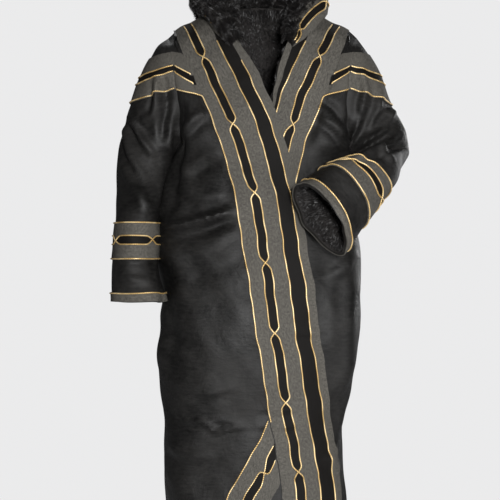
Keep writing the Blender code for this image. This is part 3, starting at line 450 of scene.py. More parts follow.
# Shares of the fur's length: at the tips of the face and of the under side, all over the under side, and
# on the curled roll.
FACE_TIP_LENGTH = 0.8
UNDER_TIP_LENGTH = 0.6
UNDER_LENGTH = 0.6
ROLL_LENGTH = 1.1
FUR_CLUMP = 0.007
FUR_SWIRL = (((210.0, 90.0, 130.0), 0.3), ((-110.0, 240.0, 70.0), 1.7), ((150.0, -130.0, 220.0), 4.1))

FLOOR_Z = -1.470
FLOOR_RADIUS = 2.6
FLOOR_SIDES = 96
FLOOR_COLOURS = ((0.60, 0.60, 0.61, 1.0), (0.64, 0.64, 0.65, 1.0))
SURROUNDINGS = (0.83, 0.83, 0.835)
AMBIENT = 0.115
CAMERA_LENS = 117.2
CAMERA_SENSOR = 36.0
CAMERA_PLACE = (-0.0258, -3.5, -0.4945)
# The lamps: where they stand, what they face, their size and power.
LIGHTS = (
    ("key", (0.35, -3.6, -0.25), (0.0, 0.0, -0.75), 0.5, 190.0),
    ("fill", (2.6, -2.4, -1.0), (0.1, 0.0, -0.9), 1.1, 42.0),
    ("back", (0.0, 2.1, 2.4), (0.0, 0.0, -0.6), 1.8, 40.0),
    ("rear", (2.0, 3.0, 0.2), (0.0, 0.0, -0.7), 1.6, 42.0),
)


def smooth(xs, ys, x):
    """A smooth curve through the points (xs, ys), read at x."""
    slopes = np.gradient(ys, xs)
    i = np.clip(np.searchsorted(xs, x) - 1, 0, len(xs) - 2)
    span = xs[i + 1] - xs[i]
    t = (x - xs[i]) / span
    ends = (1 + 2 * t) * (1 - t) ** 2 * ys[i] + t * t * (3 - 2 * t) * ys[i + 1]
    return ends + span * (t * (1 - t) ** 2 * slopes[i] - t * t * (1 - t) * slopes[i + 1])


def ease(t):
    t = np.clip(t, 0.0, 1.0)
    return t * t * (3 - 2 * t)


def unit(vectors):
    length = np.linalg.norm(vectors, axis=-1, keepdims=True)
    return vectors / np.maximum(length, 1e-12)


def ridge(x):
    return np.interp(abs(x), RIDGE["x"], RIDGE["z"])


def front_top_z(column):
    return NECKLINE_Z[column] if column in NECKLINE_Z else ridge(FRONT_TOP_X[column])


def section(name, z):
    return smooth(SECTIONS["z"], SECTIONS[name], z)


def half_width(x, z):
    return section("right" if x < 0 else "left", z)


def turn_of(x, z):
    """The angle round the section at which the surface reaches x: 0 in front, 90 degrees at the side."""
    share = min(abs(x) / half_width(x, z), 1.0)
    return math.copysign(math.asin(share ** (ROUNDNESS / 2)), x)


def fold(face, x, z):
    """How far the large soft folds stand out of the body at this place."""
    rise = 0.0
    for i in range(len(FOLDS["x"])):
        if FOLDS["face"][i] != face:
            continue
        across = (x - FOLDS["x"][i]) / FOLDS["half_width"][i]
        length = FOLDS["z_top"][i] - FOLDS["z_bottom"][i]
        down = (FOLDS["z_top"][i] - z) / length
        if 0 < down and abs(across) < 1:
            to_hem = FOLDS["z_bottom"][i] < HEM_Z + FOLD_FADE
            fade = ease(down * length / FOLD_FADE) * ease((1 - down) * length / FOLD_FADE + to_hem)
            rise += FOLDS["height"][i] * fade * (1 - across * across) ** 2
    return rise


def body_y(face, x, z):
    """Where the body's front or back lies at this place, seen from the front."""
    depth = section("front" if face == FRONT else "back", z)
    share = min(abs(x) / half_width(x, z), 1.0)
    y = depth * (1 - share**ROUNDNESS) ** (1 / ROUNDNESS)
    if z > UNDERARM_Z:
        t = min((z - UNDERARM_Z) / (ridge(x) - UNDERARM_Z), 1.0)
        y *= (1 - t**SHOULDER_ROUNDNESS) ** (1 / SHOULDER_ROUNDNESS)
    return face * (y + fold(face, x, z))


def section_point(face, turn, z):
    """A point of a level section by its angle, with the folds pushed out."""
    width = half_width(turn, z)
    depth = section("front" if face == FRONT else "back", z)
    x = math.copysign(width * abs(math.sin(turn)) ** (2 / ROUNDNESS), turn)
    y = depth * max(math.cos(turn), 0.0) ** (2 / ROUNDNESS)
    rise = fold(face, x, z) * math.cos(turn) ** FOLD_SIDE_FADE if math.cos(turn) > 1e-6 else 0.0
    along = unit(np.array([x / width**2, face * y / depth**2, 0.0]))
    return np.array([x, face * y, z]) + rise * along


def armhole(side, face, z):
    """The armhole: an oval that stands on the underarm and ends at the shoulder tip."""
    middle = (UNDERARM_Z + SHOULDER_TIP_Z) / 2
    half = (SHOULDER_TIP_Z - UNDERARM_Z) / 2
    level = np.clip((z - middle) / half, -1, 1)
    across = math.sqrt(1 - level * level)
    x = ARMHOLE_X + (ARMHOLE_TIP_X - ARMHOLE_X) * (level + 1) / 2 - ARMHOLE_SCOOP * across
    return np.array([side * x, face * ARMHOLE_BOW[face] * across, z])


def lower_heights():
    return np.linspace(HEM_Z, UNDERARM_Z, LOWER_ROWS + 1)


def chest_shares():
    heights = CHEST_ROWS["outer"]
    return (heights - heights[0]) / (heights[-1] - heights[0])


def line_x(side, column, z):
    """Where a column of the front band runs, seen from the front."""
    lines = LINES[side]
    chain = lines["chain"]
    values = {
        EDGE: lines["edge"],
        STRIP: (lines["edge"] + lines["inner"]) / 2,
        INNER: lines["inner"],
        MIDDLE: lines["middle"],
        CORD_A: chain - side * CHAIN_HALF,
        CORD_B: chain + side * CHAIN_HALF,
        OUTER: lines["outer"],
    }[column]
    top_x, top_z = side * FRONT_TOP_X[column], front_top_z(column)
    keep = lines["z"] < top_z - LINE_END_GAP
    return smooth(np.append(lines["z"][keep], top_z), np.append(values[keep], top_x), z)


def lap(x, z):
    """How far the left front lies in under the right one."""
    edge = line_x(RIGHT, EDGE, min(z, front_top_z(EDGE)))
    past = math.degrees(turn_of(x, z) - turn_of(edge, z))
    across = ease((LAP_REACH_TURN - past) / LAP_FADE_TURN)
    return LAP_DEPTH * float(across * ease((LAP_TOP_Z - z) / LAP_START_HEIGHT))


def front_net(side):
    """The net of one front: rows from the hem up, columns from the front edge to the side seam."""
    net = np.zeros((TOP + 1, SEAM + 1, 3))
    for row, z in enumerate(lower_heights()):
        for column in range(OUTER + 1):
            x = line_x(side, column, z)
            net[row, column] = (x, body_y(FRONT, x, z), z)
        start = turn_of(net[row, OUTER, 0], z)
        for column in range(OUTER + 1, SEAM + 1):
            share = (column - OUTER) / SIDE_COLUMNS
            turn = start + (side * math.pi / 2 - start) * share
            net[row, column] = section_point(FRONT, turn, z)
    for i, share in enumerate(chest_shares()):
        row = LOWER_ROWS + i
        if i == 0:
            continue
        for column in range(OUTER + 1):
            z = lerp(UNDERARM_Z, front_top_z(column), share)
            x = line_x(side, column, z)
            net[row, column] = (x, body_y(FRONT, x, z), z)
        net[row, SEAM] = armhole(side, FRONT, CHEST_ROWS["armhole"][i])
    fill_side(net, OUTER, SEAM)
    if side == LEFT:
        push_under(net)
    return net


def fill_side(net, inner, seam):
    """Fills the chest between a finished column and the armhole, carrying on the row at the underarm."""
    step = 1 if seam > inner else -1
    for i, share in enumerate(chest_shares()):
        row = LOWER_ROWS + i
        for column in range(inner + step, seam, step):
            across = (column - inner) / (seam - inner)
            low = net[UNDERARM, column] - lerp(net[UNDERARM, inner], net[UNDERARM, seam], across)
            if i > 0:
                flat = lerp(net[row, inner], net[row, seam], across)
                net[row, column] = flat + (1 - share) ** 2 * low


def lerp(a, b, t):
    return a + (b - a) * t


def push_under(net):
    """Pushes the left front in where it lies under the right one."""
    for row in range(TOP):
        for column in range(SEAM):
            x, y, z = net[row, column]
            depth = lap(x, z)
            width = half_width(x, z)
            inward = unit(np.array([x / width**2, min(y, LAP_OVAL_FRONT_Y) / LAP_OVAL_DEPTH**2, 0.0]))
            net[row, column] -= depth * inward


def back_net():
    """The net of the back: rows from the hem up, columns from the right side to the left."""
    net = np.zeros((TOP + 1, BACK_COLUMNS + 1, 3))
    for row, z in enumerate(lower_heights()):
        for column in range(BACK_COLUMNS + 1):
            turn = math.pi * (column / BACK_COLUMNS - 0.5)
            net[row, column] = section_point(BACK, turn, z)
    for i, share in enumerate(chest_shares()):
        row = LOWER_ROWS + i
        if i == 0:
            continue
        for column in range(BACK_COLUMNS + 1):
            index = min(column, BACK_COLUMNS - column)
            top_x = math.copysign(BACK_TOPS[index], column - BACK_COLUMNS / 2)
            on_neck = index > NECK_COLUMN
            neck_z = lerp(NECK_BACK_Z, ridge(NECK_SIDE_X), (abs(top_x) / NECK_SIDE_X) ** 2)
            z = lerp(UNDERARM_Z, neck_z if on_neck else ridge(top_x), share)
            x = lerp(net[UNDERARM, column, 0], top_x, share)
            net[row, column] = (x, body_y(BACK, x, z), z)
        net[row, 0] = armhole(RIGHT, BACK, CHEST_ROWS["armhole"][i])
        net[row, BACK_COLUMNS] = armhole(LEFT, BACK, CHEST_ROWS["armhole"][i])
    top = net[TOP].copy()
    fill_side(net, BACK_INNER, 0)
    fill_side(net, BACK_COLUMNS - BACK_INNER, BACK_COLUMNS)
    net[TOP] = top
    return net


def cap_row(side, i):
    """A row of the sleeve's cap, from the front of the armhole over the arm to the back."""
    cap = CAPS[side]
    height = CHEST_ROWS["armhole"][i]
    front, back = armhole(side, FRONT, height), armhole(side, BACK, height)
    outer = np.array([side * cap["x"][i], cap["y"][i], cap["z"][i]])
    share = (height - UNDERARM_Z) / (SHOULDER_TIP_Z - UNDERARM_Z)
    opened = float(ease(share / CAP_OPENS_OVER))
    reach = outer - (front + back) / 2
    row = []
    for column in range(SLEEVE_COLUMNS + 1):
        turn = math.pi * column / SLEEVE_COLUMNS
        round_out = max(math.sin(turn), 0.0) ** CAP_FULLNESS
        out = lerp(math.sin(turn) ** 2, round_out, opened)
        side_step = np.array([0, -1, 0]) * (1 - opened) ** 5 * CAP_DEPTH * math.sin(2 * turn)
        row.append(lerp(front, back, (1 - math.cos(turn)) / 2) + reach * out + side_step)
    return row


def ring_row(side, i):
    """A ring of the sleeve below the underarm, from its inner line round the front and back."""
    ring = {name: values[i] for name, values in RINGS[side].items()}
    outer = np.array([side * ring["px"], ring["py"], ring["pz"]])
    inner = np.array([side * ring["qx"], ring["qy"], ring["qz"]])
    facing = unit(np.array([side * ring["fx"], ring["fy"], ring["fz"]]))
    row = []
    for column in range(SLEEVE_COLUMNS + 1):
        turn = math.pi * column / SLEEVE_COLUMNS
        out = (outer - inner) * math.sin(turn) ** 2
        row.append(inner + out + facing * ring["depth"] * math.sin(2 * turn))
    return row


def sleeve_net(side):
    """The net of a sleeve: rows from the shoulder tip to the cuff, columns round the arm."""
    rows = [cap_row(side, i) for i in reversed(range(CHEST_COUNT))]
    rows += [ring_row(side, i) for i in range(len(RINGS[side]["px"]))]
    net = np.array(rows)
    net[CHEST_COUNT - 1 :, -1] = net[CHEST_COUNT - 1 :, 0]
    return net


def face_normals(net):
    across = net[1:, 1:] - net[:-1, :-1]
    along = net[1:, :-1] - net[:-1, 1:]
    return np.cross(across, along)


def key_of(point):
    return tuple(np.round(point, 6))


def shared_normals(nets, flips):
    """Normals at every point of every net, averaged over all the nets that meet there."""
    sums = {}
    for name, net in nets.items():
        faces = face_normals(net) * flips[name]
        for row in range(faces.shape[0]):
            for column in range(faces.shape[1]):
                corners = net[row : row + 2, column : column + 2].reshape(-1, 3)
                for key in map(key_of, corners):
                    sums[key] = sums.get(key, 0.0) + faces[row, column]
    normals = {}
    for name, net in nets.items():
        normals[name] = unit(np.array([[sums[key_of(point)] for point in row] for row in net]))
    return normals


def raise_underarm(net, normals):
    """Where sleeve, front and back meet under the arm, the inside lies straight up."""
    meets = np.isclose(abs(net), (ARMHOLE_X, 0.0, -UNDERARM_Z), atol=1e-6).all(axis=-1)
    normals[meets] = (0.0, 0.0, -1.0)


def straighten_shoulder(top):
    """The back has no points at the outer part of the shoulder seam, so the front's run straight there."""
    for column in range(OUTER + 1, SEAM):
        top[column] = lerp(top[OUTER], top[SEAM], (column - OUTER) / SIDE_COLUMNS)


class Cloth:
    """A net of outer points with its normals: the source of a panel and of all that lies on it."""

    def __init__(self, points, normals):
        self.points = points
        self.normals = normals

    def row_at(self, z):
        """The row of a level, on a net whose lower rows are level and rise from the hem."""
        return float(np.interp(z, self.points[: UNDERARM + 1, EDGE, 2], np.arange(UNDERARM + 1)))

    def column_at(self, row, x):
        """The column at which a row reaches x."""
        r = int(np.clip(math.floor(row), 0, self.points.shape[0] - 2))
        line = lerp(self.points[r, :, 0], self.points[r + 1, :, 0], row - r)
        order = np.argsort(line)
        return float(np.interp(x, line[order], order))


def on_band():
    """How far a cord's middle lies off the cloth: the thread that holds it draws it into the band."""
    return LAY_GAP + BAND_WALL + CORD_SUNK


def neckline(right, back, left):
    """Points and normals round the neck, from the tip of the right front to the tip of the left."""
    on_right = [(right, TOP, c) for c in (EDGE, STRIP, INNER)]
    on_back = [(back, TOP, c) for c in range(NECK_COLUMN + 1, BACK_COLUMNS - NECK_COLUMN)]
    on_left = [(left, TOP, c) for c in (INNER, STRIP, EDGE)]
    spots = on_right + on_back + on_left
    points = np.array([cloth.points[r, c] for cloth, r, c in spots])
    normals = np.array([cloth.normals[r, c] for cloth, r, c in spots])
    return points, normals


def shoulder_height(x, y):
    """The height of the shoulders at a place seen from above."""
    depth = section("front" if y < 0 else "back", SHOULDER_TIP_Z)
    depth *= (1 - min(abs(x) / half_width(x, SHOULDER_TIP_Z), 1.0) ** ROUNDNESS) ** (1 / ROUNDNESS)
    level = (1 - min(abs(y) / depth, 0.999) ** SHOULDER_ROUNDNESS) ** (1 / SHOULDER_ROUNDNESS)
    return UNDERARM_Z + (ridge(x) - UNDERARM_Z) * level


def shoulder_point(x, y, lift):
    """A point above the shoulders, off them by lift."""
    step = 0.006
    slope_x = (shoulder_height(x + step, y) - shoulder_height(x - step, y)) / (2 * step)
    slope_y = (shoulder_height(x, y + step) - shoulder_height(x, y - step)) / (2 * step)
    return np.array([x, y, shoulder_height(x, y)]) + lift * unit(np.array([-slope_x, -slope_y, 1.0]))


def collar_net(right, back, left):
    points, normals = neckline(right, back, left)
    travelled = np.append(0, np.cumsum(np.linalg.norm(np.diff(points, axis=0), axis=1)))
    shares = np.linspace(0, 1, COLLAR_COLUMNS + 1)
    reads = shares * travelled[-1]
    sewn = np.array([[np.interp(s, travelled, points[:, k]) for k in range(3)] for s in reads])
    base = np.array([[smooth(travelled, points[:, k], s) for k in range(3)] for s in reads])
    up = unit(np.array([[smooth(travelled, normals[:, k], s) for k in range(3)] for s in reads]))
    out = unit(np.cross(up, unit(np.gradient(base, axis=0))))
    rise = unit(up + np.array([0.0, 0.0, COLLAR_UPRIGHT]))
    net = np.zeros((len(COLLAR_ROWS["left"]), COLLAR_COLUMNS + 1, 3))
    halves = np.zeros(net.shape[:2])
    for column, share in enumerate(shares):
        at = {name: float(smooth(COLLAR["share"], COLLAR[name], share)) for name in COLLAR}
        near = min(share, 1 - share)
        in_front = float(ease((COLLAR_FRONT_SHARE - near) / COLLAR_FRONT_FADE))
        lift = COLLAR_LIFT + COLLAR_FRONT_LIFT * in_front
        inset = COLLAR_INSET + COLLAR_FRONT_INSET * in_front
        seam = sewn[column] + lift * up[column] - inset * out[column]
        open_out = float(ease((share - COLLAR_OPENS_AT) / COLLAR_OPENS_OVER))
        edge = shoulder_point(at["edge_x"], at["edge_y"], COLLAR_EDGE_LIFT)
        neck_side = base[column] - at["lean"] * out[column] + at["stand"] * rise[column]
        outer_side = edge + at["spread"] * out[column] + at["fall"] * rise[column]
        for k in range(net.shape[0]):
            t = lerp(COLLAR_ROWS["right"][k], COLLAR_ROWS["left"][k], open_out)
            u = 1 - t
            roll = 3 * u * u * t * neck_side + 3 * u * t * t * outer_side
            net[k, column] = u**3 * seam + roll + t**3 * edge
        tip = lerp(COLLAR_TIP_THIN, 1.0, float(ease(near / COLLAR_TIP_SHARE)))
        halves[:, column] = FUR_WALL / 2 * tip * COLLAR_ROWS["thickness"]
    normals = shared_normals({"collar": net}, {"collar": 1.0})["collar"]
    return Cloth(net, normals), halves


# Creases seen from the front or back: the face, half width, height and the line's places (x, z).
CREASES = [
    (
        FRONT,
        0.0060,
        0.0052,
        [(-0.168, -0.855), (-0.125, -0.849), (-0.0925, -0.873), (-0.084, -0.866), (-0.030, -0.858)],
    ),
    (FRONT, 0.0070, 0.0030, [(-0.120, -0.852), (-0.085, -0.846), (-0.040, -0.852)]),
    (FRONT, 0.0090, 0.0070, [(-0.206, -0.438), (-0.181, -0.447), (-0.062, -0.415)]),
    (FRONT, 0.0260, 0.0085, [(-0.212, -0.520), (-0.120, -0.500), (-0.047, -0.455)]),
    (FRONT, 0.0300, 0.0060, [(-0.150, -0.560), (-0.115, -0.700), (-0.120, -0.800)]),
    (FRONT, 0.0200, -0.0070, [(-0.205, -0.520), (-0.190, -0.620), (-0.196, -0.760)]),
    (FRONT, 0.0130, -0.0090, [(-0.172, -0.180), (-0.176, -0.300), (-0.186, -0.430)]),
    (FRONT, 0.0120, 0.0085, [(-0.198, -0.456), (-0.130, -0.440), (-0.058, -0.414)]),
    (FRONT, 0.0110, 0.0060, [(-0.180, -0.262), (-0.140, -0.220), (-0.118, -0.205)]),
    (FRONT, 0.0120, 0.0055, [(-0.165, -0.335), (-0.120, -0.300), (-0.085, -0.292)]),
    (FRONT, 0.0140, 0.0045, [(-0.180, -0.360), (-0.120, -0.385), (-0.080, -0.380)]),
    (FRONT, 0.0240, 0.0055, [(-0.170, -0.960), (-0.130, -1.060), (-0.135, -1.240)]),
    (FRONT, 0.0120, 0.0035, [(-0.205, -0.905), (-0.150, -0.925), (-0.090, -0.915)]),
    (FRONT, 0.0090, 0.0030, [(-0.190, -0.770), (-0.120, -0.792), (-0.050, -0.775)]),
    (FRONT, 0.0060, 0.0022, [(-0.010, -0.822), (0.035, -0.826), (0.080, -0.820)]),
    (FRONT, 0.0060, 0.0024, [(-0.012, -0.856), (0.030, -0.862), (0.072, -0.854)]),
    (FRONT, 0.0070, 0.0018, [(0.060, -0.660), (0.100, -0.668), (0.130, -0.660)]),
    (FRONT, 0.0070, 0.0016, [(-0.040, -0.590), (0.000, -0.598), (0.040, -0.590)]),
    (FRONT, 0.0060, 0.0018, [(0.020, -0.950), (0.070, -0.962), (0.120, -0.955)]),
    (FRONT, 0.0200, 0.0060, [(0.140, -0.560), (0.146, -0.680), (0.160, -0.800)]),
    (FRONT, 0.0160, 0.0050, [(0.190, -0.520), (0.180, -0.640), (0.172, -0.780)]),
    (FRONT, 0.0130, 0.0050, [(0.205, -0.500), (0.160, -0.540), (0.130, -0.560)]),
    (FRONT, 0.0100, 0.0045, [(0.168, -0.900), (0.140, -0.930), (0.165, -0.960)]),
    (FRONT, 0.0080, 0.0090, [(-0.284, -0.205), (-0.252, -0.262), (-0.226, -0.300)]),
    (FRONT, 0.0080, 0.0085, [(-0.298, -0.225), (-0.280, -0.290), (-0.246, -0.350)]),
    (FRONT, 0.0110, 0.0060, [(-0.305, -0.300), (-0.270, -0.365), (-0.236, -0.410)]),
    (FRONT, 0.0080, 0.0080, [(-0.216, -0.130), (-0.222, -0.175), (-0.232, -0.212), (-0.258, -0.222)]),
    (FRONT, 0.0100, -0.0080, [(-0.206, -0.120), (-0.202, -0.190), (-0.210, -0.270)]),
    (FRONT, 0.0060, 0.0030, [(-0.308, -0.505), (-0.262, -0.512), (-0.222, -0.503)]),
    (FRONT, 0.0080, 0.0035, [(-0.300, -0.548), (-0.262, -0.556), (-0.230, -0.560)]),
    (FRONT, 0.0080, 0.0080, [(0.170, -0.290), (0.190, -0.250), (0.208, -0.214)]),
    (FRONT, 0.0085, 0.0100, [(0.176, -0.296), (0.222, -0.262), (0.268, -0.232)]),
    (FRONT, 0.0080, 0.0090, [(0.186, -0.305), (0.250, -0.280), (0.306, -0.252)]),
    (FRONT, 0.0070, 0.0065, [(0.238, -0.276), (0.256, -0.290), (0.276, -0.312)]),
    (FRONT, 0.0080, 0.0070, [(0.206, -0.110), (0.216, -0.160), (0.206, -0.215)]),
    (FRONT, 0.0080, 0.0065, [(0.250, -0.150), (0.246, -0.195), (0.222, -0.240)]),
    (FRONT, 0.0080, 0.0060, [(0.290, -0.185), (0.272, -0.215), (0.240, -0.235)]),
    (FRONT, 0.0090, 0.0070, [(0.118, -0.215), (0.150, -0.240), (0.172, -0.262)]),
    (FRONT, 0.0090, -0.0070, [(0.120, -0.180), (0.150, -0.200), (0.180, -0.240)]),
    (FRONT, 0.0070, 0.0040, [(0.130, -0.390), (0.155, -0.420), (0.165, -0.455)]),
    (BACK, 0.0200, 0.0060, [(-0.170, -0.330), (-0.090, -0.420), (0.020, -0.450)]),
    (BACK, 0.0180, 0.0055, [(0.170, -0.330), (0.110, -0.430), (0.030, -0.480)]),
    (BACK, 0.0300, 0.0060, [(-0.010, -0.180), (0.000, -0.420), (-0.015, -0.700)]),
    (BACK, 0.0090, 0.0040, [(-0.120, -0.860), (-0.050, -0.875), (0.010, -0.862)]),
    (BACK, 0.0120, 0.0040, [(0.040, -0.760), (0.100, -0.790), (0.160, -0.770)]),
    (BACK, 0.0100, 0.0060, [(-0.290, -0.240), (-0.255, -0.320), (-0.230, -0.400)]),
    (BACK, 0.0100, 0.0070, [(0.220, -0.170), (0.262, -0.220), (0.300, -0.235)]),
    (BACK, 0.0090, 0.0060, [(0.205, -0.210), (0.250, -0.262), (0.300, -0.282)]),
]
# A crease's valley beside it, and how it fades at its ends and on faces that look aside.
CREASE_VALLEY = 0.55
CREASE_VALLEY_OFFSET = 1.6
CREASE_END = 0.6
CREASE_FACING = 2.5
# The slow unevenness of worn cloth: how many waves to the metre each way, a start and a height.
WAVES = table(
    "x y z start height",
    [
        (18, 9, 11, 0.4, 0.0011),
        (-31, 17, 13, 1.9, 0.0008),
        (9, 30, -24, 5.1, 0.0009),
        (52, -21, 37, 2.2, 0.0005),
    ],
)
# The sideways wander of bands and pipings: how much it turns on x beside z, then wave length, size and
# start of each wave.
WANDER_SLANT = 0.12
WANDER = ((0.170, 0.0011, 0.5), (0.083, 0.0008, 2.1), (0.047, 0.0005, 4.0))
PANEL_FLIPS = {"front_right": -1.0, "front_left": 1.0, "back": -1.0, "sleeve_right": 1.0, "sleeve_left": -1.0}
# Grid lines to each row of the fronts, below the underarm and above it.
LOWER_STEPS = 12
CHEST_STEPS = 6
# A sheet's area is given as at least this share of its width times its length.
SHEET_LEAST_SHARE = 0.31
# The lining's fur: its length, where it grows, and how many strands each stretch of it has.
LINING_LENGTH = 0.008
NECK_FUR_ROW = 20.5
NECK_FUR_COLUMN = 4.8
CUFF_FUR_ROWS = {"right": 1.2, "left": 3.2}
CUFF_FUR_END = 0.15
NECK_STRANDS = 10000
EDGE_STRANDS = 7000
CUFF_STRANDS = 9000
# At the head of each armhole, outside and above these, the wall is faced with the cloth.
FACING_FROM_X = 0.165
FACING_FROM_Z = -0.080
# The body's fullness beside the hanging sleeve, the heights between which it lies, and how far it
# reaches to the front: by the way that the cloth faces and by its place.
SIDE_FULLNESS = 0.009
SIDE_FULL_FROM = -0.680
SIDE_FULL_TO = -0.270
SIDE_FULL_FADE = 0.060
SIDE_FULL_NORMAL = -0.45
SIDE_FULL_NORMAL_FADE = 0.3
SIDE_FULL_X = -0.240
SIDE_FULL_X_FADE = 0.004


def nearest_on(line, places):
    """Distances from a line, with the side as sign, and how far along it the nearest point is, 0 to 1."""
    line = np.array(line, float)
    lengths = np.linalg.norm(np.diff(line, axis=0), axis=1)
    passed = np.append(0.0, np.cumsum(lengths))
    best = np.full(places.shape[:-1], np.inf)
    side = np.zeros_like(best)
    along = np.zeros_like(best)
    for k, length in enumerate(lengths):
        direction = (line[k + 1] - line[k]) / length
        step = places - line[k]
        reach = np.clip(step @ direction, 0.0, length)
        gap = np.linalg.norm(step - reach[..., None] * direction, axis=-1)
        cross = direction[0] * step[..., 1] - direction[1] * step[..., 0]
        closer = gap < best
        best = np.where(closer, gap, best)
        side = np.where(closer, np.sign(cross), side)
        along = np.where(closer, (passed[k] + reach) / passed[-1], along)
    return best * side, along


def relief(points, normals):
    """How far creases, the cloth's unevenness and the fullness at the side stand out at these points."""
    rise = np.zeros(points.shape[:-1])
    for i in range(len(WAVES["x"])):
        wave = np.array([WAVES[axis][i] for axis in "xyz"])
        rise += WAVES["height"][i] * np.sin(points @ wave * 2 + WAVES["start"][i])
    depth = bpy.context.scene.cloak_sizes.crease_depth
    for face, width, height, line in CREASES:
        distance, along = nearest_on(line, points[..., [0, 2]])
        fade = np.clip(4 * along * (1 - along), 0.0, 1.0) ** CREASE_END
        fade = fade * ease(face * normals[..., 1] * CREASE_FACING)
        ridge_part = np.exp(-((distance / width) ** 2))
        valley = np.exp(-((distance / width + CREASE_VALLEY_OFFSET) ** 2))
        rise += depth * height * fade * (ridge_part - CREASE_VALLEY * valley)
    x, z = points[..., 0], points[..., 2]
    beside = ease((SIDE_FULL_NORMAL - normals[..., 0]) / SIDE_FULL_NORMAL_FADE)
    beside = beside * ease((x - SIDE_FULL_X) / SIDE_FULL_X_FADE)
    span = ease((z - SIDE_FULL_FROM) / SIDE_FULL_FADE) * ease((SIDE_FULL_TO - z) / SIDE_FULL_FADE)
    return rise + SIDE_FULLNESS * beside * span


def drift(points):
    """How far the hand-laid lines wander sideways at these points."""
    height = points[..., 2] + WANDER_SLANT * points[..., 0]
    return sum(size * np.sin(2 * math.pi * height / length + start) for length, size, start in WANDER)


def curve_weights(places, at):
    """The cell of each place, and the weights of its two ends' values and slopes on a smooth curve."""
    cell = np.clip(np.floor(at).astype(int), 0, len(places) - 2)
    t = at - cell
    span = places[cell + 1] - places[cell]
    values = ((1 + 2 * t) * (1 - t) ** 2, t * t * (3 - 2 * t))
    slopes = (span * t * (1 - t) ** 2, -span * t * t * (1 - t))
    return cell, values, slopes


class Surface:
    """A smooth surface through a panel's net, read at any row and column, with its creases."""

    def __init__(self, cloth, down=None, closed_from=None, flip=1.0, creased=True):
        self.points = cloth.points
        self.flip = flip
        self.creased = creased
        self.down = self.spacing(0) if down is None else down
        self.across = self.spacing(1)
        self.fields = [self.with_slopes(field, closed_from) for field in (cloth.points, cloth.normals)]

    def spacing(self, axis):
        steps = np.linalg.norm(np.diff(self.points, axis=axis), axis=2).mean(axis=1 - axis)
        return np.append(0.0, np.cumsum(steps))

    def with_slopes(self, field, closed_from):
        by_row = np.gradient(field, self.down, axis=0)
        by_column = np.gradient(field, self.across, axis=1)
        if closed_from is not None:
            reach = self.across[1] - self.across[0] + self.across[-1] - self.across[-2]
            meeting = (field[closed_from:, 1] - field[closed_from:, -2]) / reach
            by_column[closed_from:, 0] = meeting
            by_column[closed_from:, -1] = meeting
        return field, by_row, by_column, np.gradient(by_column, self.down, axis=0)

    def read(self, parts, rows, columns):
        value, by_row, by_column, both = parts
        i, row_values, row_slopes = curve_weights(self.down, rows)
        j, column_values, column_slopes = curve_weights(self.across, columns)
        total = np.zeros((*rows.shape, value.shape[-1]))
        for a in (0, 1):
            for b in (0, 1):
                cell = (i + a, j + b)
                total += (row_values[a] * column_values[b])[..., None] * value[cell]
                total += (row_slopes[a] * column_values[b])[..., None] * by_row[cell]
                total += (row_values[a] * column_slopes[b])[..., None] * by_column[cell]
                total += (row_slopes[a] * column_slopes[b])[..., None] * both[cell]
        return total

    def spots(self, rows, columns, lift=0.0):
        """Points and normals at these rows and columns, moved out by lift."""
        rows, columns = np.broadcast_arrays(np.asarray(rows, float), np.asarray(columns, float))
        points = self.read(self.fields[0], rows, columns)
        normals = unit(self.read(self.fields[1], rows, columns))
        rise = np.zeros(rows.shape) + lift
        if self.creased:
            rise += relief(points, normals)
            points = points + drift(points)[..., None] * np.cross(normals, (0.0, 0.0, 1.0))
        return points + rise[..., None] * normals, normals

    def metres(self, rows, columns):
        """How far across and down the cloth these rows and columns are."""
        across = np.interp(columns, np.arange(len(self.across)), self.across)
        down = np.interp(rows, np.arange(len(self.down)), self.down)
        return np.stack([across, down], axis=-1)

    def cut(self):
        """The size of the flat cut: width, length and area."""
        points = self.points
        width = np.linalg.norm(np.diff(points, axis=1), axis=2).sum(axis=1).max()
        length = np.linalg.norm(np.diff(points, axis=0), axis=2).sum(axis=0).max()
        area = np.linalg.norm(face_normals(points), axis=2).sum() / 2
        whole = width * length
        return float(width), float(length), float(np.clip(area, SHEET_LEAST_SHARE * whole, whole))


def build_surfaces():
    nets = {
        "front_right": front_net(RIGHT),
        "front_left": front_net(LEFT),
        "back": back_net(),
        "sleeve_right": sleeve_net(RIGHT),
        "sleeve_left": sleeve_net(LEFT),
    }
    normals = shared_normals(nets, PANEL_FLIPS)
    for name in ("front_right", "front_left"):
        straighten_shoulder(normals[name][TOP])
    surfaces = {}
    body_down = np.append(lower_heights(), CHEST_ROWS["armhole"][1:])
    cap_down = CHEST_ROWS["armhole"][-1] - CHEST_ROWS["armhole"][::-1]
    for name, net in nets.items():
        raise_underarm(net, normals[name])
        cloth = Cloth(net, normals[name])
        if name.startswith("sleeve"):
            rings = np.linalg.norm(np.diff(net[CHEST_COUNT - 1 :], axis=0), axis=2).mean(axis=1)
            down = np.append(cap_down, cap_down[-1] + np.cumsum(rings))
            surfaces[name] = Surface(cloth, down, CHEST_COUNT - 1, PANEL_FLIPS[name])
        else:
            surfaces[name] = Surface(cloth, body_down, None, PANEL_FLIPS[name])
        surfaces[name].cloth = cloth
    return surfaces


PANELS = {}


def panels():
    """The smooth surfaces of the five panels, made once."""
    if not PANELS:
        PANELS.update(build_surfaces())
    return PANELS


def stops(first, last, per):
    """Even stops from first to last, per of them to each row or column of a net."""
    return np.linspace(first, last, max(int(round(abs(last - first) * per)), 1) + 1)


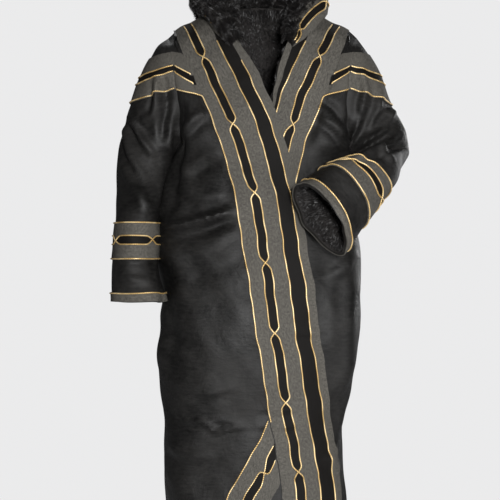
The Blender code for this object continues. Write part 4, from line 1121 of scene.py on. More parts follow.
def body_rows(first=0, last=TOP):
    """The grid lines down a front or the back."""
    low, high = [float(first)], []
    if first < UNDERARM:
        low = stops(first, min(last, UNDERARM), LOWER_STEPS)
    if last > UNDERARM:
        high = stops(max(first, UNDERARM), last, CHEST_STEPS)
    return np.unique(np.round(np.append(low, high), 6))


def grid_mesh(name, points, uv=None, values=None):
    """A grid mesh with these points by row and column. Points that meet are merged."""
    rows, columns = points.shape[:2]
    bm = bmesh.new()
    bmesh.ops.create_grid(bm, x_segments=columns - 1, y_segments=rows - 1, size=1.0)
    mesh = bpy.data.meshes.new(name)
    bm.to_mesh(mesh)
    mesh.vertices.foreach_set("co", points.astype(np.float32).ravel())
    corners = np.empty(len(mesh.loops), np.int32)
    mesh.loops.foreach_get("vertex_index", corners)
    if uv is not None:
        layer = mesh.uv_layers.new(name="cloth")
        layer.uv.foreach_set("vector", uv.reshape(-1, 2)[corners].astype(np.float32).ravel())
    for key, numbers in (values or {}).items():
        attribute = mesh.attributes.new(key, "FLOAT", "POINT")
        attribute.data.foreach_set("value", numbers.astype(np.float32).ravel())
    bm.free()
    bm = bmesh.new()
    bm.from_mesh(mesh)
    bmesh.ops.remove_doubles(bm, verts=bm.verts, dist=1e-5)
    bm.to_mesh(mesh)
    bm.free()
    mesh.shade_smooth()
    return mesh


def add_piece(name, mesh, materials, nodes=()):
    """Adds a finished piece that rides on the cloak and stands for its CAD nodes."""
    for material in materials:
        mesh.materials.append(material)
    piece = bpy.data.objects.new(name, mesh)
    bpy.context.scene.collection.objects.link(piece)
    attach(piece, "root")
    if nodes:
        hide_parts(*nodes)
    return piece


def settle(piece, angle=50.0):
    """Applies a piece's modifiers and keeps its corners sharp."""
    graph = bpy.context.evaluated_depsgraph_get()
    result = piece.evaluated_get(graph)
    mesh = bpy.data.meshes.new_from_object(result, preserve_all_data_layers=True, depsgraph=graph)
    before = piece.data
    piece.modifiers.clear()
    piece.data = mesh
    bpy.data.meshes.remove(before)
    mesh.shade_smooth()
    mesh.set_sharp_from_angle(angle=math.radians(angle))


def cloth_piece(node, surface, rows, columns, lift, thickness, materials, values=None):
    """A wall of cloth on a surface. Its outer face is lifted by lift, and the wall goes in from it."""
    if surface.flip < 0:
        columns = columns[::-1]
    r, c = np.meshgrid(rows, columns, indexing="ij")
    points, _ = surface.spots(r, c, lift)
    readings = {key: value(r, c) for key, value in (values or {}).items()}
    mesh = grid_mesh(node, points, surface.metres(r, c), readings)
    piece = add_piece(f"{node}_cloth", mesh, materials, [node])
    wall = piece.modifiers.new("wall", "SOLIDIFY")
    wall.thickness = thickness
    wall.offset = -1.0
    wall.material_offset = len(materials) - 1
    settle(piece)
    return piece


def band_piece(node, surface, rows, columns, values, lift=0.0):
    """A woven band laid on the cloth."""
    lift = lift + LAY_GAP + BAND_WALL
    cloth_piece(node, surface, rows, columns, lift, BAND_WALL, [finish("grey_band")], values)


def face_out(mesh, close=False):
    """Turns a mesh's faces outwards, after closing its open ends if that is asked."""
    bm = bmesh.new()
    bm.from_mesh(mesh)
    if close:
        bmesh.ops.holes_fill(bm, edges=[edge for edge in bm.edges if edge.is_boundary], sides=0)
    bmesh.ops.recalc_face_normals(bm, faces=bm.faces)
    bm.to_mesh(mesh)
    bm.free()


def soften(path, span):
    """Rounds the corners of a path over this many points."""
    if span < 2:
        return path
    kernel = np.hanning(2 * span + 1)
    kernel /= kernel.sum()
    ends = np.concatenate([np.repeat(path[:1], span, 0), path, np.repeat(path[-1:], span, 0)])
    soft = np.stack([np.convolve(ends[:, k], kernel, "valid") for k in range(3)], axis=1)
    weight = np.minimum(np.arange(len(path)), np.arange(len(path))[::-1])[:, None] / span
    return lerp(path, soft, np.clip(weight, 0.0, 1.0))


def even(path, normals, step):
    """The path again with even steps."""
    passed = np.append(0.0, np.cumsum(np.linalg.norm(np.diff(path, axis=0), axis=1)))
    reads = np.linspace(0.0, passed[-1], max(int(passed[-1] / step), 4) + 1)
    both = [np.stack([np.interp(reads, passed, a[:, k]) for k in range(3)], axis=1) for a in (path, normals)]
    return both[0], both[1], reads


def twisted_cord(node, path, normals, closed=False, corner=0):
    """A two-ply gold cord of round section whose plies wind round each other."""
    sizes = bpy.context.scene.cloak_sizes
    path, normals, reads = even(path, normals, CORD_STEP)
    if corner:
        path = soften(path, corner)
    along = unit(np.gradient(path, axis=0))
    if closed:
        along[0] = along[-1] = unit(along[0] + along[-1])
        normals[-1] = normals[0]
    across = unit(np.cross(normals, along))
    up = np.cross(along, across)
    turns = max(round(reads[-1] / sizes.cord_twist), 1)
    twist = 2 * math.pi * turns * reads / reads[-1]
    angle = np.linspace(0.0, 2 * math.pi, CORD_SIDES + 1)
    lobes = 1.0 - CORD_GROOVE * (1 - np.cos(2 * (angle[None, :] - twist[:, None]))) / 2
    radius = CORD_RADIUS * CORD_FULLNESS * lobes
    if not closed:
        radius[0] = radius[-1] = 0.0
    ring = np.cos(angle)[None, :, None] * across[:, None] + np.sin(angle)[None, :, None] * up[:, None]
    points = path[:, None] + radius[..., None] * ring
    around, down = angle[None, :] / (2 * math.pi), reads[:, None] * CORD_UV_SCALE
    uv = np.stack(np.broadcast_arrays(around, down), axis=-1)
    mesh = grid_mesh(node, points, uv, {"ply": np.broadcast_to(lobes, radius.shape).copy()})
    face_out(mesh)
    return add_piece(f"{node}_twisted", mesh, [finish("gold_cord")], [node])


def laid_cord(node, surface, rows, columns, lift, closed=False, corner=0):
    """A cord along these rows and columns of a surface."""
    path, normals = surface.spots(rows, columns, lift)
    twisted_cord(node, path, normals, closed, corner)


def swing(s, crossings, half):
    """Where the first cord of a chain lies at s, from -1 to 1. It changes sides at each crossing."""
    turns = np.clip((np.asarray(s)[..., None] - np.sort(crossings)) / half, -1.0, 1.0)
    return np.prod(np.sin(turns * math.pi / 2), axis=-1)


def crossing_chain(nodes, surface, place, s, crossings, half, lift, closed=False):
    """Two cords that run side by side and cross."""
    for index, node in enumerate(nodes):
        sign = 1 if index == 0 else -1
        rise = np.zeros_like(s)
        for k, crossing in enumerate(sorted(crossings)):
            if (k + index) % 2 == 0:
                rise += CORD_OVER * np.exp(-(((s - crossing) / (CORD_OVER_SHARE * half)) ** 2))
        rows, columns = place(s, sign * swing(s, crossings, half))
        laid_cord(node, surface, rows, columns, lift + rise, closed)


def front_heights(surface):
    return surface.points[:, CORD_A, 2]


def front_crossings(bottom, top):
    crossings = np.arange(CHAIN_FIRST_Z, HEM_Z, -CHAIN_PITCH)
    return [z for z in crossings if bottom + CROSSING_HALF < z < top - CROSSING_HALF]


def band_values(surface, low):
    """What the woven finish reads on a front band: its place across, and how wide the chain is open."""
    heights = front_heights(surface)
    crossings = front_crossings(heights[low], heights[TOP] - CHAIN_TOP_GAP)

    def link_open(r, c):
        return np.abs(swing(np.interp(r, np.arange(TOP + 1), heights), crossings, CROSSING_HALF))

    return {
        "link_side": lambda r, c: (c - (CORD_A + CORD_B) / 2) * 2,
        "link_open": link_open,
        "strip_side": lambda r, c: (c - (INNER + MIDDLE) / 2) * 2,
    }


def plain_values(side, opened):
    """The woven finish's readings on a band without a black strip."""
    return {"link_side": side, "link_open": opened, "strip_side": lambda r, c: np.full(r.shape, NO_STRIP)}


def front_bands():
    """The front bands and shoulder bands with their pipings and chains."""
    surfaces = panels()
    left = surfaces["front_left"]
    band_end, cord_end = (int(left_row(left, z)) for z in (LEFT_BAND_END_Z, LEFT_CORD_END_Z))
    for name, low, cord_low in (("right", 0, 0), ("left", band_end, cord_end)):
        surface = surfaces[f"front_{name}"]
        columns = np.unique(np.append(stops(EDGE, OUTER, 3), [CORD_A, CORD_B, INNER, MIDDLE]))
        values = band_values(surface, cord_low)
        band_piece(f"front_band_{name}", surface, body_rows(low, TOP), columns, values)
        values = plain_values(lambda r, c: (r - SHOULDER_LOW_CORD - 0.5) * 2, lambda r, c: np.ones(r.shape))
        rows, columns = stops(SHOULDER_GOLD, SHOULDER_TOP, 6), stops(OUTER, SEAM, 4)
        band_piece(f"shoulder_band_{name}", surface, rows, columns, values)
        front_cords(name, surface, cord_low)


def left_row(surface, z):
    """The row at which the front's edge has this height."""
    return np.interp(z, surface.points[: UNDERARM + 1, EDGE, 2], np.arange(UNDERARM + 1))


def front_cords(name, surface, low):
    """The pipings and the chain of one front, and its part of the shoulder's cords."""
    if name == "right":
        laid_cord(f"piping_inner_{name}", surface, body_rows(low, TOP - 3), INNER, on_band())
    laid_cord(f"piping_middle_{name}", surface, body_rows(low, TOP - 2), MIDDLE, on_band())

    heights = front_heights(surface)
    bottom, top = heights[low], heights[TOP] - CHAIN_TOP_GAP

    def place(z, across):
        return np.interp(z, heights, np.arange(TOP + 1)), lerp(CORD_A, CORD_B, (across + 1) / 2)

    z = np.arange(bottom, top, CORD_STEP)
    names = [f"chain_{name}_1", f"chain_{name}_2"]
    crossing_chain(names, surface, place, z, front_crossings(bottom, top), CROSSING_HALF, on_band())

    along = stops(SEAM - SEAM_STOP, OUTER, 6)
    end = float(left_row(surface, LOWER_BAND_TOP_Z)) if name == "right" else float(low)
    down = stops(SHOULDER_GOLD, end, 10)[1:]
    rows = np.append(np.full(len(along), float(SHOULDER_GOLD)), down)
    columns = np.append(along, np.full(len(down), OUTER - OUTER_PIPING_INSET))
    laid_cord(f"piping_outer_{name}", surface, rows, columns, on_band(), corner=8)
    columns = stops(OUTER + SHOULDER_CORD_START, SEAM - SEAM_STOP, 6)
    for row, height in ((SHOULDER_LOW_CORD, "low"), (SHOULDER_HIGH_CORD, "high")):
        laid_cord(f"cord_shoulder_{height}_{name}", surface, row, columns, on_band())


def lower_band_surface(right):
    """The lower band's surface, on the right front from the front band's line to the hem."""
    z_all = LOWER_BAND["z"]
    cloth = right.cloth

    def spot(width, z):
        slope = smooth(z_all, LOWER_BAND["x"], z + 0.01) - smooth(z_all, LOWER_BAND["x"], z - 0.01)
        direction = unit(np.array([slope, 0.02]))
        return smooth(z_all, LOWER_BAND["x"], z) + width * direction[1], z - width * direction[0]

    def start_of(width):
        z, lowest, step = LOWER_BAND_SEARCH
        while z > lowest:
            x, spot_z = spot(width, z)
            if x < line_x(RIGHT, OUTER, spot_z) - LOWER_BAND_TUCK:
                break
            z -= step
        return z

    columns_of_lines = (0, *LOWER_CHAIN_COLUMNS, LOWER_BAND_COLUMNS)
    widths = np.interp(np.arange(LOWER_BAND_COLUMNS + 1), columns_of_lines, LOWER_BAND_WIDTHS)
    starts = [start_of(width) for width in widths]
    count = LOWER_BAND_ROWS * LOWER_BAND_STEPS
    rows = np.zeros((count + 1, len(widths)))
    columns = np.zeros_like(rows)
    for j, width in enumerate(widths):
        for i in range(count + 1):
            x, z = spot(width, lerp(starts[j], HEM_Z + LOWER_HEM_GAP, i / count))
            rows[i, j] = cloth.row_at(max(z, HEM_Z + LOWER_HEM_GAP))
            columns[i, j] = cloth.column_at(rows[i, j], x)
    points, normals = right.spots(rows, columns)
    return Surface(Cloth(points, normals), creased=False)


def lower_band():
    """The lower band of the right front with its piping and chain."""
    surface = lower_band_surface(panels()["front_right"])
    middle = sum(LOWER_CHAIN_COLUMNS) / 2
    values = plain_values(
        lambda r, c: c - middle,
        lambda r, c: np.abs(swing(r / LOWER_BAND_STEPS, LOWER_CROSSINGS, LOWER_CROSSING_HALF)),
    )
    last = LOWER_BAND_ROWS * LOWER_BAND_STEPS
    rows, columns = stops(0, last, 1), stops(0, LOWER_BAND_COLUMNS, 1)
    band_piece("lower_band_right", surface, rows, columns, values, LOWER_BAND_LIFT)
    lift = LOWER_BAND_LIFT + on_band()
    laid_cord("piping_lower", surface, stops(LOWER_PIPING_START, last, 1), SEAM_STOP, lift)

    def place(s, across):
        return s * LOWER_BAND_STEPS, lerp(*LOWER_CHAIN_COLUMNS, (across + 1) / 2)

    s = np.linspace(LOWER_CHAIN_START, LOWER_BAND_ROWS, LOWER_CHAIN_PLACES)
    nodes = ["chain_lower_1", "chain_lower_2"]
    crossing_chain(nodes, surface, place, s, LOWER_CROSSINGS, LOWER_CROSSING_HALF, lift)


def sleeve_bands():
    """The bands of both sleeves with their pipings, cords and chains."""
    for name, side in (("right", RIGHT), ("left", LEFT)):
        surface = panels()[f"sleeve_{name}"]
        shoulder = (SHOULDER_TOP, SHOULDER_HIGH_CORD, SHOULDER_LOW_CORD, SHOULDER_GOLD)
        top, high, low, gold = (CHEST_COUNT - 1 - (row - LOWER_ROWS) for row in shoulder)
        columns = stops(0, SLEEVE_COLUMNS, 5)
        values = plain_values(lambda r, c: (r - (low + high) / 2) * 2, lambda r, c: np.ones(r.shape))
        band_piece(f"sleeve_top_band_{name}", surface, stops(top, gold, 6), columns, values)
        across = stops(SEAM_STOP, SLEEVE_COLUMNS - SEAM_STOP, 6)
        cords = (
            ("piping_sleeve_top", gold - PIPING_INSET),
            ("cord_sleeve_top_low", low),
            ("cord_sleeve_top_high", high),
        )
        for cord_name, row in cords:
            laid_cord(f"{cord_name}_{name}", surface, row, across, on_band())

        rows = {key: CHEST_COUNT - 1 + value for key, value in RING_ROWS[side].items()}
        middle = (rows["cord_a"] + rows["cord_b"]) / 2
        values = plain_values(
            lambda r, c: (r - middle) * 2,
            lambda r, c: np.abs(swing(c, FOREARM_CROSSINGS, FOREARM_CROSSING_HALF)),
        )
        band_piece(f"forearm_band_{name}", surface, stops(rows["top"], rows["bottom"], 6), columns, values)
        values = plain_values(lambda r, c: np.full(r.shape, NO_STRIP), lambda r, c: np.zeros(r.shape))
        band_piece(f"cuff_band_{name}", surface, stops(rows["edge_gold"], rows["cuff"], 5), columns, values)
        around = stops(0, SLEEVE_COLUMNS, 8)
        rings = (
            ("piping_forearm_top", rows["top"] + PIPING_INSET),
            ("piping_forearm_bottom", rows["bottom"] - PIPING_INSET),
            ("piping_cuff", rows["edge_gold"] + CUFF_PIPING_INSET),
        )
        for cord_name, row in rings:
            laid_cord(f"{cord_name}_{name}", surface, row, around, on_band(), closed=True)

        def place(column, across_band, rows=rows):
            return lerp(rows["cord_a"], rows["cord_b"], (across_band + 1) / 2), column

        names = [f"chain_forearm_{name}_{k}" for k in (1, 2)]
        s = np.linspace(0.0, SLEEVE_COLUMNS, FOREARM_CHAIN_PLACES)
        half = FOREARM_CROSSING_HALF
        crossing_chain(names, surface, place, s, FOREARM_CROSSINGS, half, on_band(), closed=True)


def cloth_panels():
    """The back, the fronts and the sleeves."""
    surfaces = panels()
    materials = [finish("black_cloth"), finish("fur_lining")]
    for name, surface in surfaces.items():
        if name.startswith("sleeve"):
            rows, columns = stops(0, len(surface.points) - 1, 7), stops(0, SLEEVE_COLUMNS, 5)
        elif name == "back":
            rows, columns = body_rows()[::2], stops(0, BACK_COLUMNS, 6)
            rows = np.append(rows, TOP) if rows[-1] < TOP else rows
        else:
            rows, columns = body_rows(), stops(0, SEAM, 6)
        piece = cloth_piece(name, surface, rows, columns, 0.0, CLOTH_WALL, materials)
        for polygon in piece.data.polygons:
            if abs(polygon.center.x) > FACING_FROM_X and polygon.center.z > FACING_FROM_Z:
                polygon.material_index = 0


COLLAR_PARTS = {}


def collar_parts():
    """The collar's middle surface and half thickness, made once."""
    if not COLLAR_PARTS:
        surfaces = panels()
        cloth, halves = collar_net(*(surfaces[name].cloth for name in ("front_right", "back", "front_left")))
        half_wall = halves[:, :, None] * cloth.normals
        for part, points in (
            ("surface", cloth.points),
            ("face", cloth.points + half_wall),
            ("under", cloth.points - half_wall),
        ):
            COLLAR_PARTS[part] = Surface(Cloth(points, cloth.normals), creased=False)
        COLLAR_PARTS["last"] = cloth.points.shape[0] - 1
    return COLLAR_PARTS


def collar_body():
    """The collar under its fur, as a closed shell between its face and its under side."""
    parts = collar_parts()
    rows, columns = stops(0, parts["last"], 4), stops(0, COLLAR_COLUMNS, 4)
    r, c = np.meshgrid(rows, columns, indexing="ij")
    face, _ = parts["face"].spots(r, c)
    under, _ = parts["under"].spots(r, c)
    around = np.concatenate([face, under[::-1], face[:1]], axis=0)
    across, down = c[0] * COLLAR_UV_STEPS[0], np.arange(len(around))[:, None] * COLLAR_UV_STEPS[1]
    uv = np.stack(np.broadcast_arrays(across, down), axis=-1)
    mesh = grid_mesh("collar", around, uv)
    face_out(mesh, close=True)
    mesh.set_sharp_from_angle(angle=math.radians(COLLAR_SHARP_ANGLE))
    add_piece("collar_body", mesh, [finish("fur_lining")], ["collar"])


def collar_border():
    """The woven strip along the collar's free edge, with its two cords."""
    parts = collar_parts()
    values = plain_values(
        lambda r, c: (r - BORDER_MIDDLE) * 2,
        lambda r, c: np.abs(swing(c, COLLAR_CROSSINGS, COLLAR_CROSSING_HALF)),
    )
    rows, columns = stops(BORDER_FIRST, parts["last"], 5), stops(0, COLLAR_COLUMNS, 4)
    band_piece("collar_border", parts["face"], rows, columns, values)

    def place(column, across):
        return BORDER_MIDDLE + 0.5 * across, column

    s = np.linspace(COLLAR_CORD_START, COLLAR_COLUMNS - COLLAR_CORD_START, COLLAR_CHAIN_PLACES)
    lift = on_band() - COLLAR_CORD_DIP * ease(COLLAR_CURLED_COLUMNS + 0.5 - s)
    nodes = ["cord_collar_inner", "cord_collar_outer"]
    crossing_chain(nodes, parts["face"], place, s, COLLAR_CROSSINGS, COLLAR_CROSSING_HALF, lift)


def strands(name, roots, up, flow, lengths, lean, seed):
    """Fur strands as one mesh. Each is a bent blade on its root that leans along the flow."""
    rng = np.random.default_rng(seed)
    count = len(roots)
    bm = bmesh.new()
    bmesh.ops.create_grid(bm, x_segments=1, y_segments=2, size=1.0)
    bm.verts.ensure_lookup_table()
    bmesh.ops.pointmerge(bm, verts=bm.verts[4:6], merge_co=(0.0, 1.0, 0.0))
    mesh = bpy.data.meshes.new(name)
    bm.to_mesh(mesh)
    bm.free()
    piece = add_piece(name, mesh, [finish("black_fur")])
    copies = piece.modifiers.new("copies", "ARRAY")
    copies.count = count
    settle(piece)

    swirl = np.stack([np.sin(roots @ np.array(k) + s) for k, s in FUR_SWIRL], axis=1)
    own = rng.normal(size=(count, 3))
    first, second = (
        unit(by_up * up + by_flow * lean * flow + by_swirl * swirl + by_own * own)
        for by_up, by_flow, by_swirl, by_own in (STRAND_LOW, STRAND_HIGH)
    )
    centre = (np.floor(roots / FUR_CLUMP) + 0.5) * FUR_CLUMP
    pull = STRAND_PULL * (centre - roots)
    lengths = lengths * rng.uniform(*STRAND_LENGTHS, count)
    middle = roots + first * (STRAND_PARTS[0] * lengths)[:, None]
    tip = middle + second * (STRAND_PARTS[1] * lengths)[:, None] + pull
    side = unit(np.cross(first, own)) * STRAND_WIDTH * 0.5
    taper = STRAND_TAPER * side
    blade = np.stack([roots - side, roots + side, middle - taper, middle + taper, tip], axis=1)
    piece.data.vertices.foreach_set("co", blade.astype(np.float32).ravel())
    tone = np.repeat(rng.uniform(0.0, 1.0, count), len(STRAND_HEIGHTS))
    height = np.tile(STRAND_HEIGHTS, count)
    for key, numbers in (("tone", tone), ("height", height)):
        attribute = piece.data.attributes.new(key, "FLOAT", "POINT")
        attribute.data.foreach_set("value", numbers.astype(np.float32))
    piece.data.update()
    return piece


def scatter(surface, rows, columns, count, seed):
    """Even random places on a stretch of a surface: columns, points, normals and the way down it."""
    rng = np.random.default_rng(seed)
    r = rng.uniform(*rows, count)
    c = rng.uniform(*columns, count)
    roots, normals = surface.spots(r, c)
    ahead, _ = surface.spots(np.clip(r + FLOW_STEP, 0, len(surface.down) - 1), c)
    behind, _ = surface.spots(np.clip(r - FLOW_STEP, 0, len(surface.down) - 1), c)
    return c, roots, normals, unit(ahead - behind)


def collar_fur():
    """The fur on the collar's face down to the woven strip, and all over its under side."""
    sizes = bpy.context.scene.cloak_sizes
    parts = collar_parts()
    face, under, last = parts["face"], parts["under"], parts["last"]
    count, whole = sizes.fur_strands, (0.0, COLLAR_COLUMNS)

    def length(share, at_tip, full=1.0):
        return sizes.fur_length * lerp(at_tip, full, ease(share / COLLAR_TIP_SHARE))

    c, roots, normals, flow = scatter(face, (0.05, BORDER_FIRST + 0.6), whole, count, 11)
    near = np.minimum(c, COLLAR_COLUMNS - c) / COLLAR_COLUMNS
    past = ease((COLLAR_TIP_REACH - near) / COLLAR_TIP_REACH)[:, None]
    ahead, _ = face.spots(TIP_FLOW_ROW, np.clip(c + TIP_FLOW_STEP, *whole))
    behind, _ = face.spots(TIP_FLOW_ROW, np.clip(c - TIP_FLOW_STEP, *whole))
    to_tip = unit(ahead - behind) * np.where(c > COLLAR_COLUMNS / 2, 1.0, -1.0)[:, None]
    flow = unit(lerp(flow, TIP_FLOW_SHARE * to_tip, past))
    strands("collar_fur_face", roots, normals, flow, length(near, FACE_TIP_LENGTH), 0.45 + 0.9 * past, 12)

    columns = (0.0, COLLAR_CURLED_COLUMNS)
    c, roots, normals, flow = scatter(face, (BORDER_FIRST, last - 1.1), columns, count // 2, 15)
    lengths = length(c / COLLAR_COLUMNS, FACE_TIP_LENGTH, ROLL_LENGTH)
    strands("collar_fur_roll", roots, normals, flow, lengths, 0.35, 16)

    c, roots, normals, flow = scatter(under, (0.3, last - 0.2), whole, count // 3, 13)
    near = np.minimum(c, COLLAR_COLUMNS - c) / COLLAR_COLUMNS
    lengths = UNDER_LENGTH * length(near, UNDER_TIP_LENGTH)
    strands("collar_fur_under", roots, -normals, flow, lengths, 0.5, 14)

    _, roots, normals, flow = scatter(face, (0.0, 0.6), COLLAR_BASE_COLUMNS, count // 9, 17)
    strands("collar_fur_base", roots, normals, -flow, np.full(len(roots), sizes.fur_length), 1.1, 18)


def lining_fur():
    """Short fur where the lining shows: inside the neck, at the left front's edge and in the cuffs."""
    surfaces = panels()
    columns = (NECK_FUR_COLUMN, BACK_COLUMNS - NECK_FUR_COLUMN)
    _, roots, normals, flow = scatter(surfaces["back"], (NECK_FUR_ROW, TOP), columns, NECK_STRANDS, 21)
    roots = roots - CLOTH_WALL * normals
    near_top = ease((roots[:, 2] + 0.01) / 0.04)
    strands("neck_lining_fur", roots, -normals, -flow, LINING_LENGTH * (1 + near_top), 0.8, 22)

    surface = surfaces["front_left"]
    rng = np.random.default_rng(23)
    r = rng.uniform(UNDERARM + 2, TOP - 0.5, EDGE_STRANDS)
    c = rng.uniform(0.0, 0.35, len(r))
    roots, normals = surface.spots(r, c)
    beside, _ = surface.spots(r, c + 0.3)
    roots = roots - CLOTH_WALL * rng.uniform(0.3, 1.0, len(r))[:, None] * normals
    lengths = np.full(len(r), LINING_LENGTH)
    strands("left_edge_fur", roots, 0.4 * normals, unit(roots - beside), lengths, 1.0, 24)

    for name, inside in CUFF_FUR_ROWS.items():
        surface = surfaces[f"sleeve_{name}"]
        last = len(surface.points) - 1
        rows, columns = (last - inside, last - CUFF_FUR_END), (0.0, SLEEVE_COLUMNS)
        _, roots, normals, flow = scatter(surface, rows, columns, CUFF_STRANDS, 25)
        roots = roots - CLOTH_WALL * normals
        lengths = np.full(len(roots), LINING_LENGTH)
        strands(f"cuff_{name}_lining_fur", roots, -normals, -flow, lengths, 0.9, 26)


class Reading:
    """A number in a finish's node tree, with the sums that the finishes need."""

    def __init__(self, tree, socket):
        self.tree = tree
        self.socket = socket

    def sum(self, operation, *others):
        return self.tree.number("ShaderNodeMath", {"operation": operation}, dict(enumerate((self, *others))))

    def __add__(self, other):
        return self.sum("ADD", other)

    __radd__ = __add__

    def __mul__(self, other):
        return self.sum("MULTIPLY", other)

    __rmul__ = __mul__

    def __sub__(self, other):
        return self.sum("SUBTRACT", other)

    def __rsub__(self, other):
        return self * -1.0 + other

    def __abs__(self):
        return self.sum("ABSOLUTE")

    def step(self, low, high):
        """From 0 at low to 1 at high, smoothly."""
        settings = {"interpolation_type": "SMOOTHSTEP"}
        sockets = {"Value": self, "From Min": low, "From Max": high}
        return self.tree.number("ShaderNodeMapRange", settings, sockets)

    def most(self, other):
        return self.sum("MAXIMUM", other)


class Finish:
    """A material under construction."""

    def __init__(self, name):
        self.material = bpy.data.materials.new(f"cloak_{name}")
        self.material.use_nodes = True
        self.nodes = self.material.node_tree.nodes
        self.links = self.material.node_tree.links
        self.shader = self.nodes["Principled BSDF"]

    def node(self, kind, settings=None, sockets=None):
        """A node of this kind, with its settings and the values or links of its sockets."""
        node = self.nodes.new(kind)
        for key, value in (settings or {}).items():
            setattr(node, key, value)
        for key, value in (sockets or {}).items():
            self.feed(node.inputs[key], value)
        return node

    def feed(self, socket, value):
        if isinstance(value, Reading):
            value = value.socket
        if isinstance(value, bpy.types.NodeSocket):
            self.links.new(value, socket)
        else:
            socket.default_value = value

    def number(self, kind, settings=None, sockets=None, output=0):
        return Reading(self, self.node(kind, settings, sockets).outputs[output])

    def attribute(self, name):
        return self.number("ShaderNodeAttribute", {"attribute_name": name}, output=2)

    def cloth_place(self, scale):
        """The place on the cloth, in metres times scale."""
        place = self.node("ShaderNodeUVMap", {"uv_map": "cloth"}).outputs[0]
        return self.node("ShaderNodeVectorMath", {"operation": "MULTIPLY"}, {0: place, 1: scale}).outputs[0]

    def object_place(self):
        return self.node("ShaderNodeTexCoord").outputs["Object"]

    def noise(self, place, scale, detail=2.0, roughness=0.5, distortion=0.0):
        sockets = {"Vector": place, "Scale": scale, "Detail": detail, "Roughness": roughness}
        return self.number("ShaderNodeTexNoise", None, sockets | {"Distortion": distortion})

    def cloth_noise(self, across, down, detail, roughness=0.5):
        """Unevenness that lies along the cloth, finer across and down it as these scales are larger."""
        return self.noise(self.cloth_place((across, down, 1.0)), 1.0, detail, roughness)

    def object_noise(self, scale, detail, roughness=0.5, distortion=0.0):
        """Unevenness that fills the space round a piece."""
        return self.noise(self.object_place(), scale, detail, roughness, distortion)

    def mix(self, factor, first, second):
        """A colour between two colours."""
        node = self.node("ShaderNodeMix", {"data_type": "RGBA"}, {0: factor, 6: first, 7: second})
        return node.outputs[2]

    def wave(self, place, scale, direction="X", distortion=0.0):
        settings = {"wave_type": "BANDS", "bands_direction": direction}
        sockets = {"Vector": place, "Scale": scale, "Distortion": distortion}
        sockets |= {"Detail": 2.0, "Detail Scale": 1.5}
        return self.number("ShaderNodeTexWave", settings, sockets, output=1)

    def surface(self, color, roughness, height=None, depth=0.0002, strength=1.0, **constants):
        """Feeds the shader. The height is a bump of this depth in metres."""
        self.feed(self.shader.inputs["Base Color"], color)
        self.feed(self.shader.inputs["Roughness"], roughness)
        if height is not None:
            sockets = {"Strength": strength, "Distance": depth, "Height": height}
            self.feed(self.shader.inputs["Normal"], self.node("ShaderNodeBump", None, sockets).outputs[0])
        for key, value in constants.items():
            self.shader.inputs[key.replace("_", " ")].default_value = value
        return self.material


def tinted(color, share):
    """A colour, lighter or darker by this share."""
    return (*(min(channel * share, 1.0) for channel in color), 1.0)


def make_black_cloth():
    """Soft napped black cloth: threads under a nap that brushing lays this way and that, and large patch-like
    areas painted lighter in its colour. These are partly the cloth's own random tone and partly painted
    sheen, standing in for the satin shine of the nap.
    """
    look = bpy.context.scene.cloak_colours
    tree = Finish("black_cloth")
    across = tree.wave(tree.cloth_place((1.0, 1.0, 1.0)), 210.0, "X", 0.6)
    down = tree.wave(tree.cloth_place((1.0, 1.0, 1.0)), 180.0, "Y", 0.8)
    nap = tree.cloth_noise(900.0, 260.0, 3.0, 0.65)
    grain = tree.cloth_noise(60.0, 230.0, 3.0, 0.6)
    # This noise varies the roughness. In the colour below, its large areas stand in for the nap's satin shine
    # as painted sheen.
    brushed_and_sheen = tree.object_noise(11.0, 4.0, 0.6, 0.6)
    mottle = tree.cloth_noise(95.0, 140.0, 4.0, 0.65)
    crumple = tree.object_noise(26.0, 2.0, 0.5, 0.8)
    threads = across * 0.5 + down * 0.5
    # Painted sheen: the large noise lightens the colour the way the nap's satin shine would, mixed with the
    # cloth's own random mottle. The tone below carries it into the colour beside the random grain and nap.
    patches_and_sheen = brushed_and_sheen.step(0.36, 0.66) * 0.42 + mottle.step(0.34, 0.66) * 0.26
    tone = patches_and_sheen + grain.step(0.36, 0.64) * 0.26 + nap * 0.2
    color = tree.mix(tone, tinted(look.cloth, 0.06), tinted(look.cloth, 1.7))
    height = threads * 0.35 + nap * 0.8 + grain * 0.7 + mottle * 1.6 + crumple * 6.0
    rough = 0.37 + nap * 0.16 + grain * 0.08 + brushed_and_sheen.step(0.3, 0.7) * 0.16
    return tree.surface(color, rough, height, 0.0004, 0.8, Specular_IOR_Level=0.2)


def make_grey_band():
    """Heathered grey twill with black strips: one between the pipings, one between the crossing cords."""
    look = bpy.context.scene.cloak_colours
    tree = Finish("grey_band")
    place = tree.cloth_place((1.0, 1.0, 1.0))
    twill = tree.wave(place, 260.0, "DIAGONAL", 1.2)
    rib = tree.wave(place, 150.0, "X", 1.0)
    fleck = tree.cloth_noise(700.0, 300.0, 2.0, 0.75)
    mottle = tree.cloth_noise(260.0, 150.0, 3.0, 0.7)
    crumple = tree.object_noise(38.0, 2.0, 0.5, 0.6)
    worn = tree.object_noise(16.0, 2.0)
    heather = fleck.step(0.38, 0.64) * 0.42 + mottle.step(0.38, 0.64) * 0.26
    tone = heather + twill * 0.1 + rib * 0.08 + worn * 0.2
    grey = tree.mix(tone, tinted(look.band, 0.26), tinted(look.band, 1.9))
    link = (tree.attribute("link_open") - abs(tree.attribute("link_side"))).step(-0.02, 0.04)
    strip = (1.0 - abs(tree.attribute("strip_side"))).step(-0.02, 0.02)
    black = link.most(strip)
    dark = tree.mix(mottle, tinted(look.strip, 0.6), tinted(look.strip, 1.5))
    color = tree.mix(black, grey, dark)
    height = twill * 0.4 + rib * 0.3 + fleck * 0.7 + mottle * 0.8 + (1.0 - black) * 2.0 + crumple * 5.0
    rough = 0.78 - black * 0.08 + fleck * 0.08
    return tree.surface(color, rough, height, 0.0003, 0.7, Specular_IOR_Level=0.14)


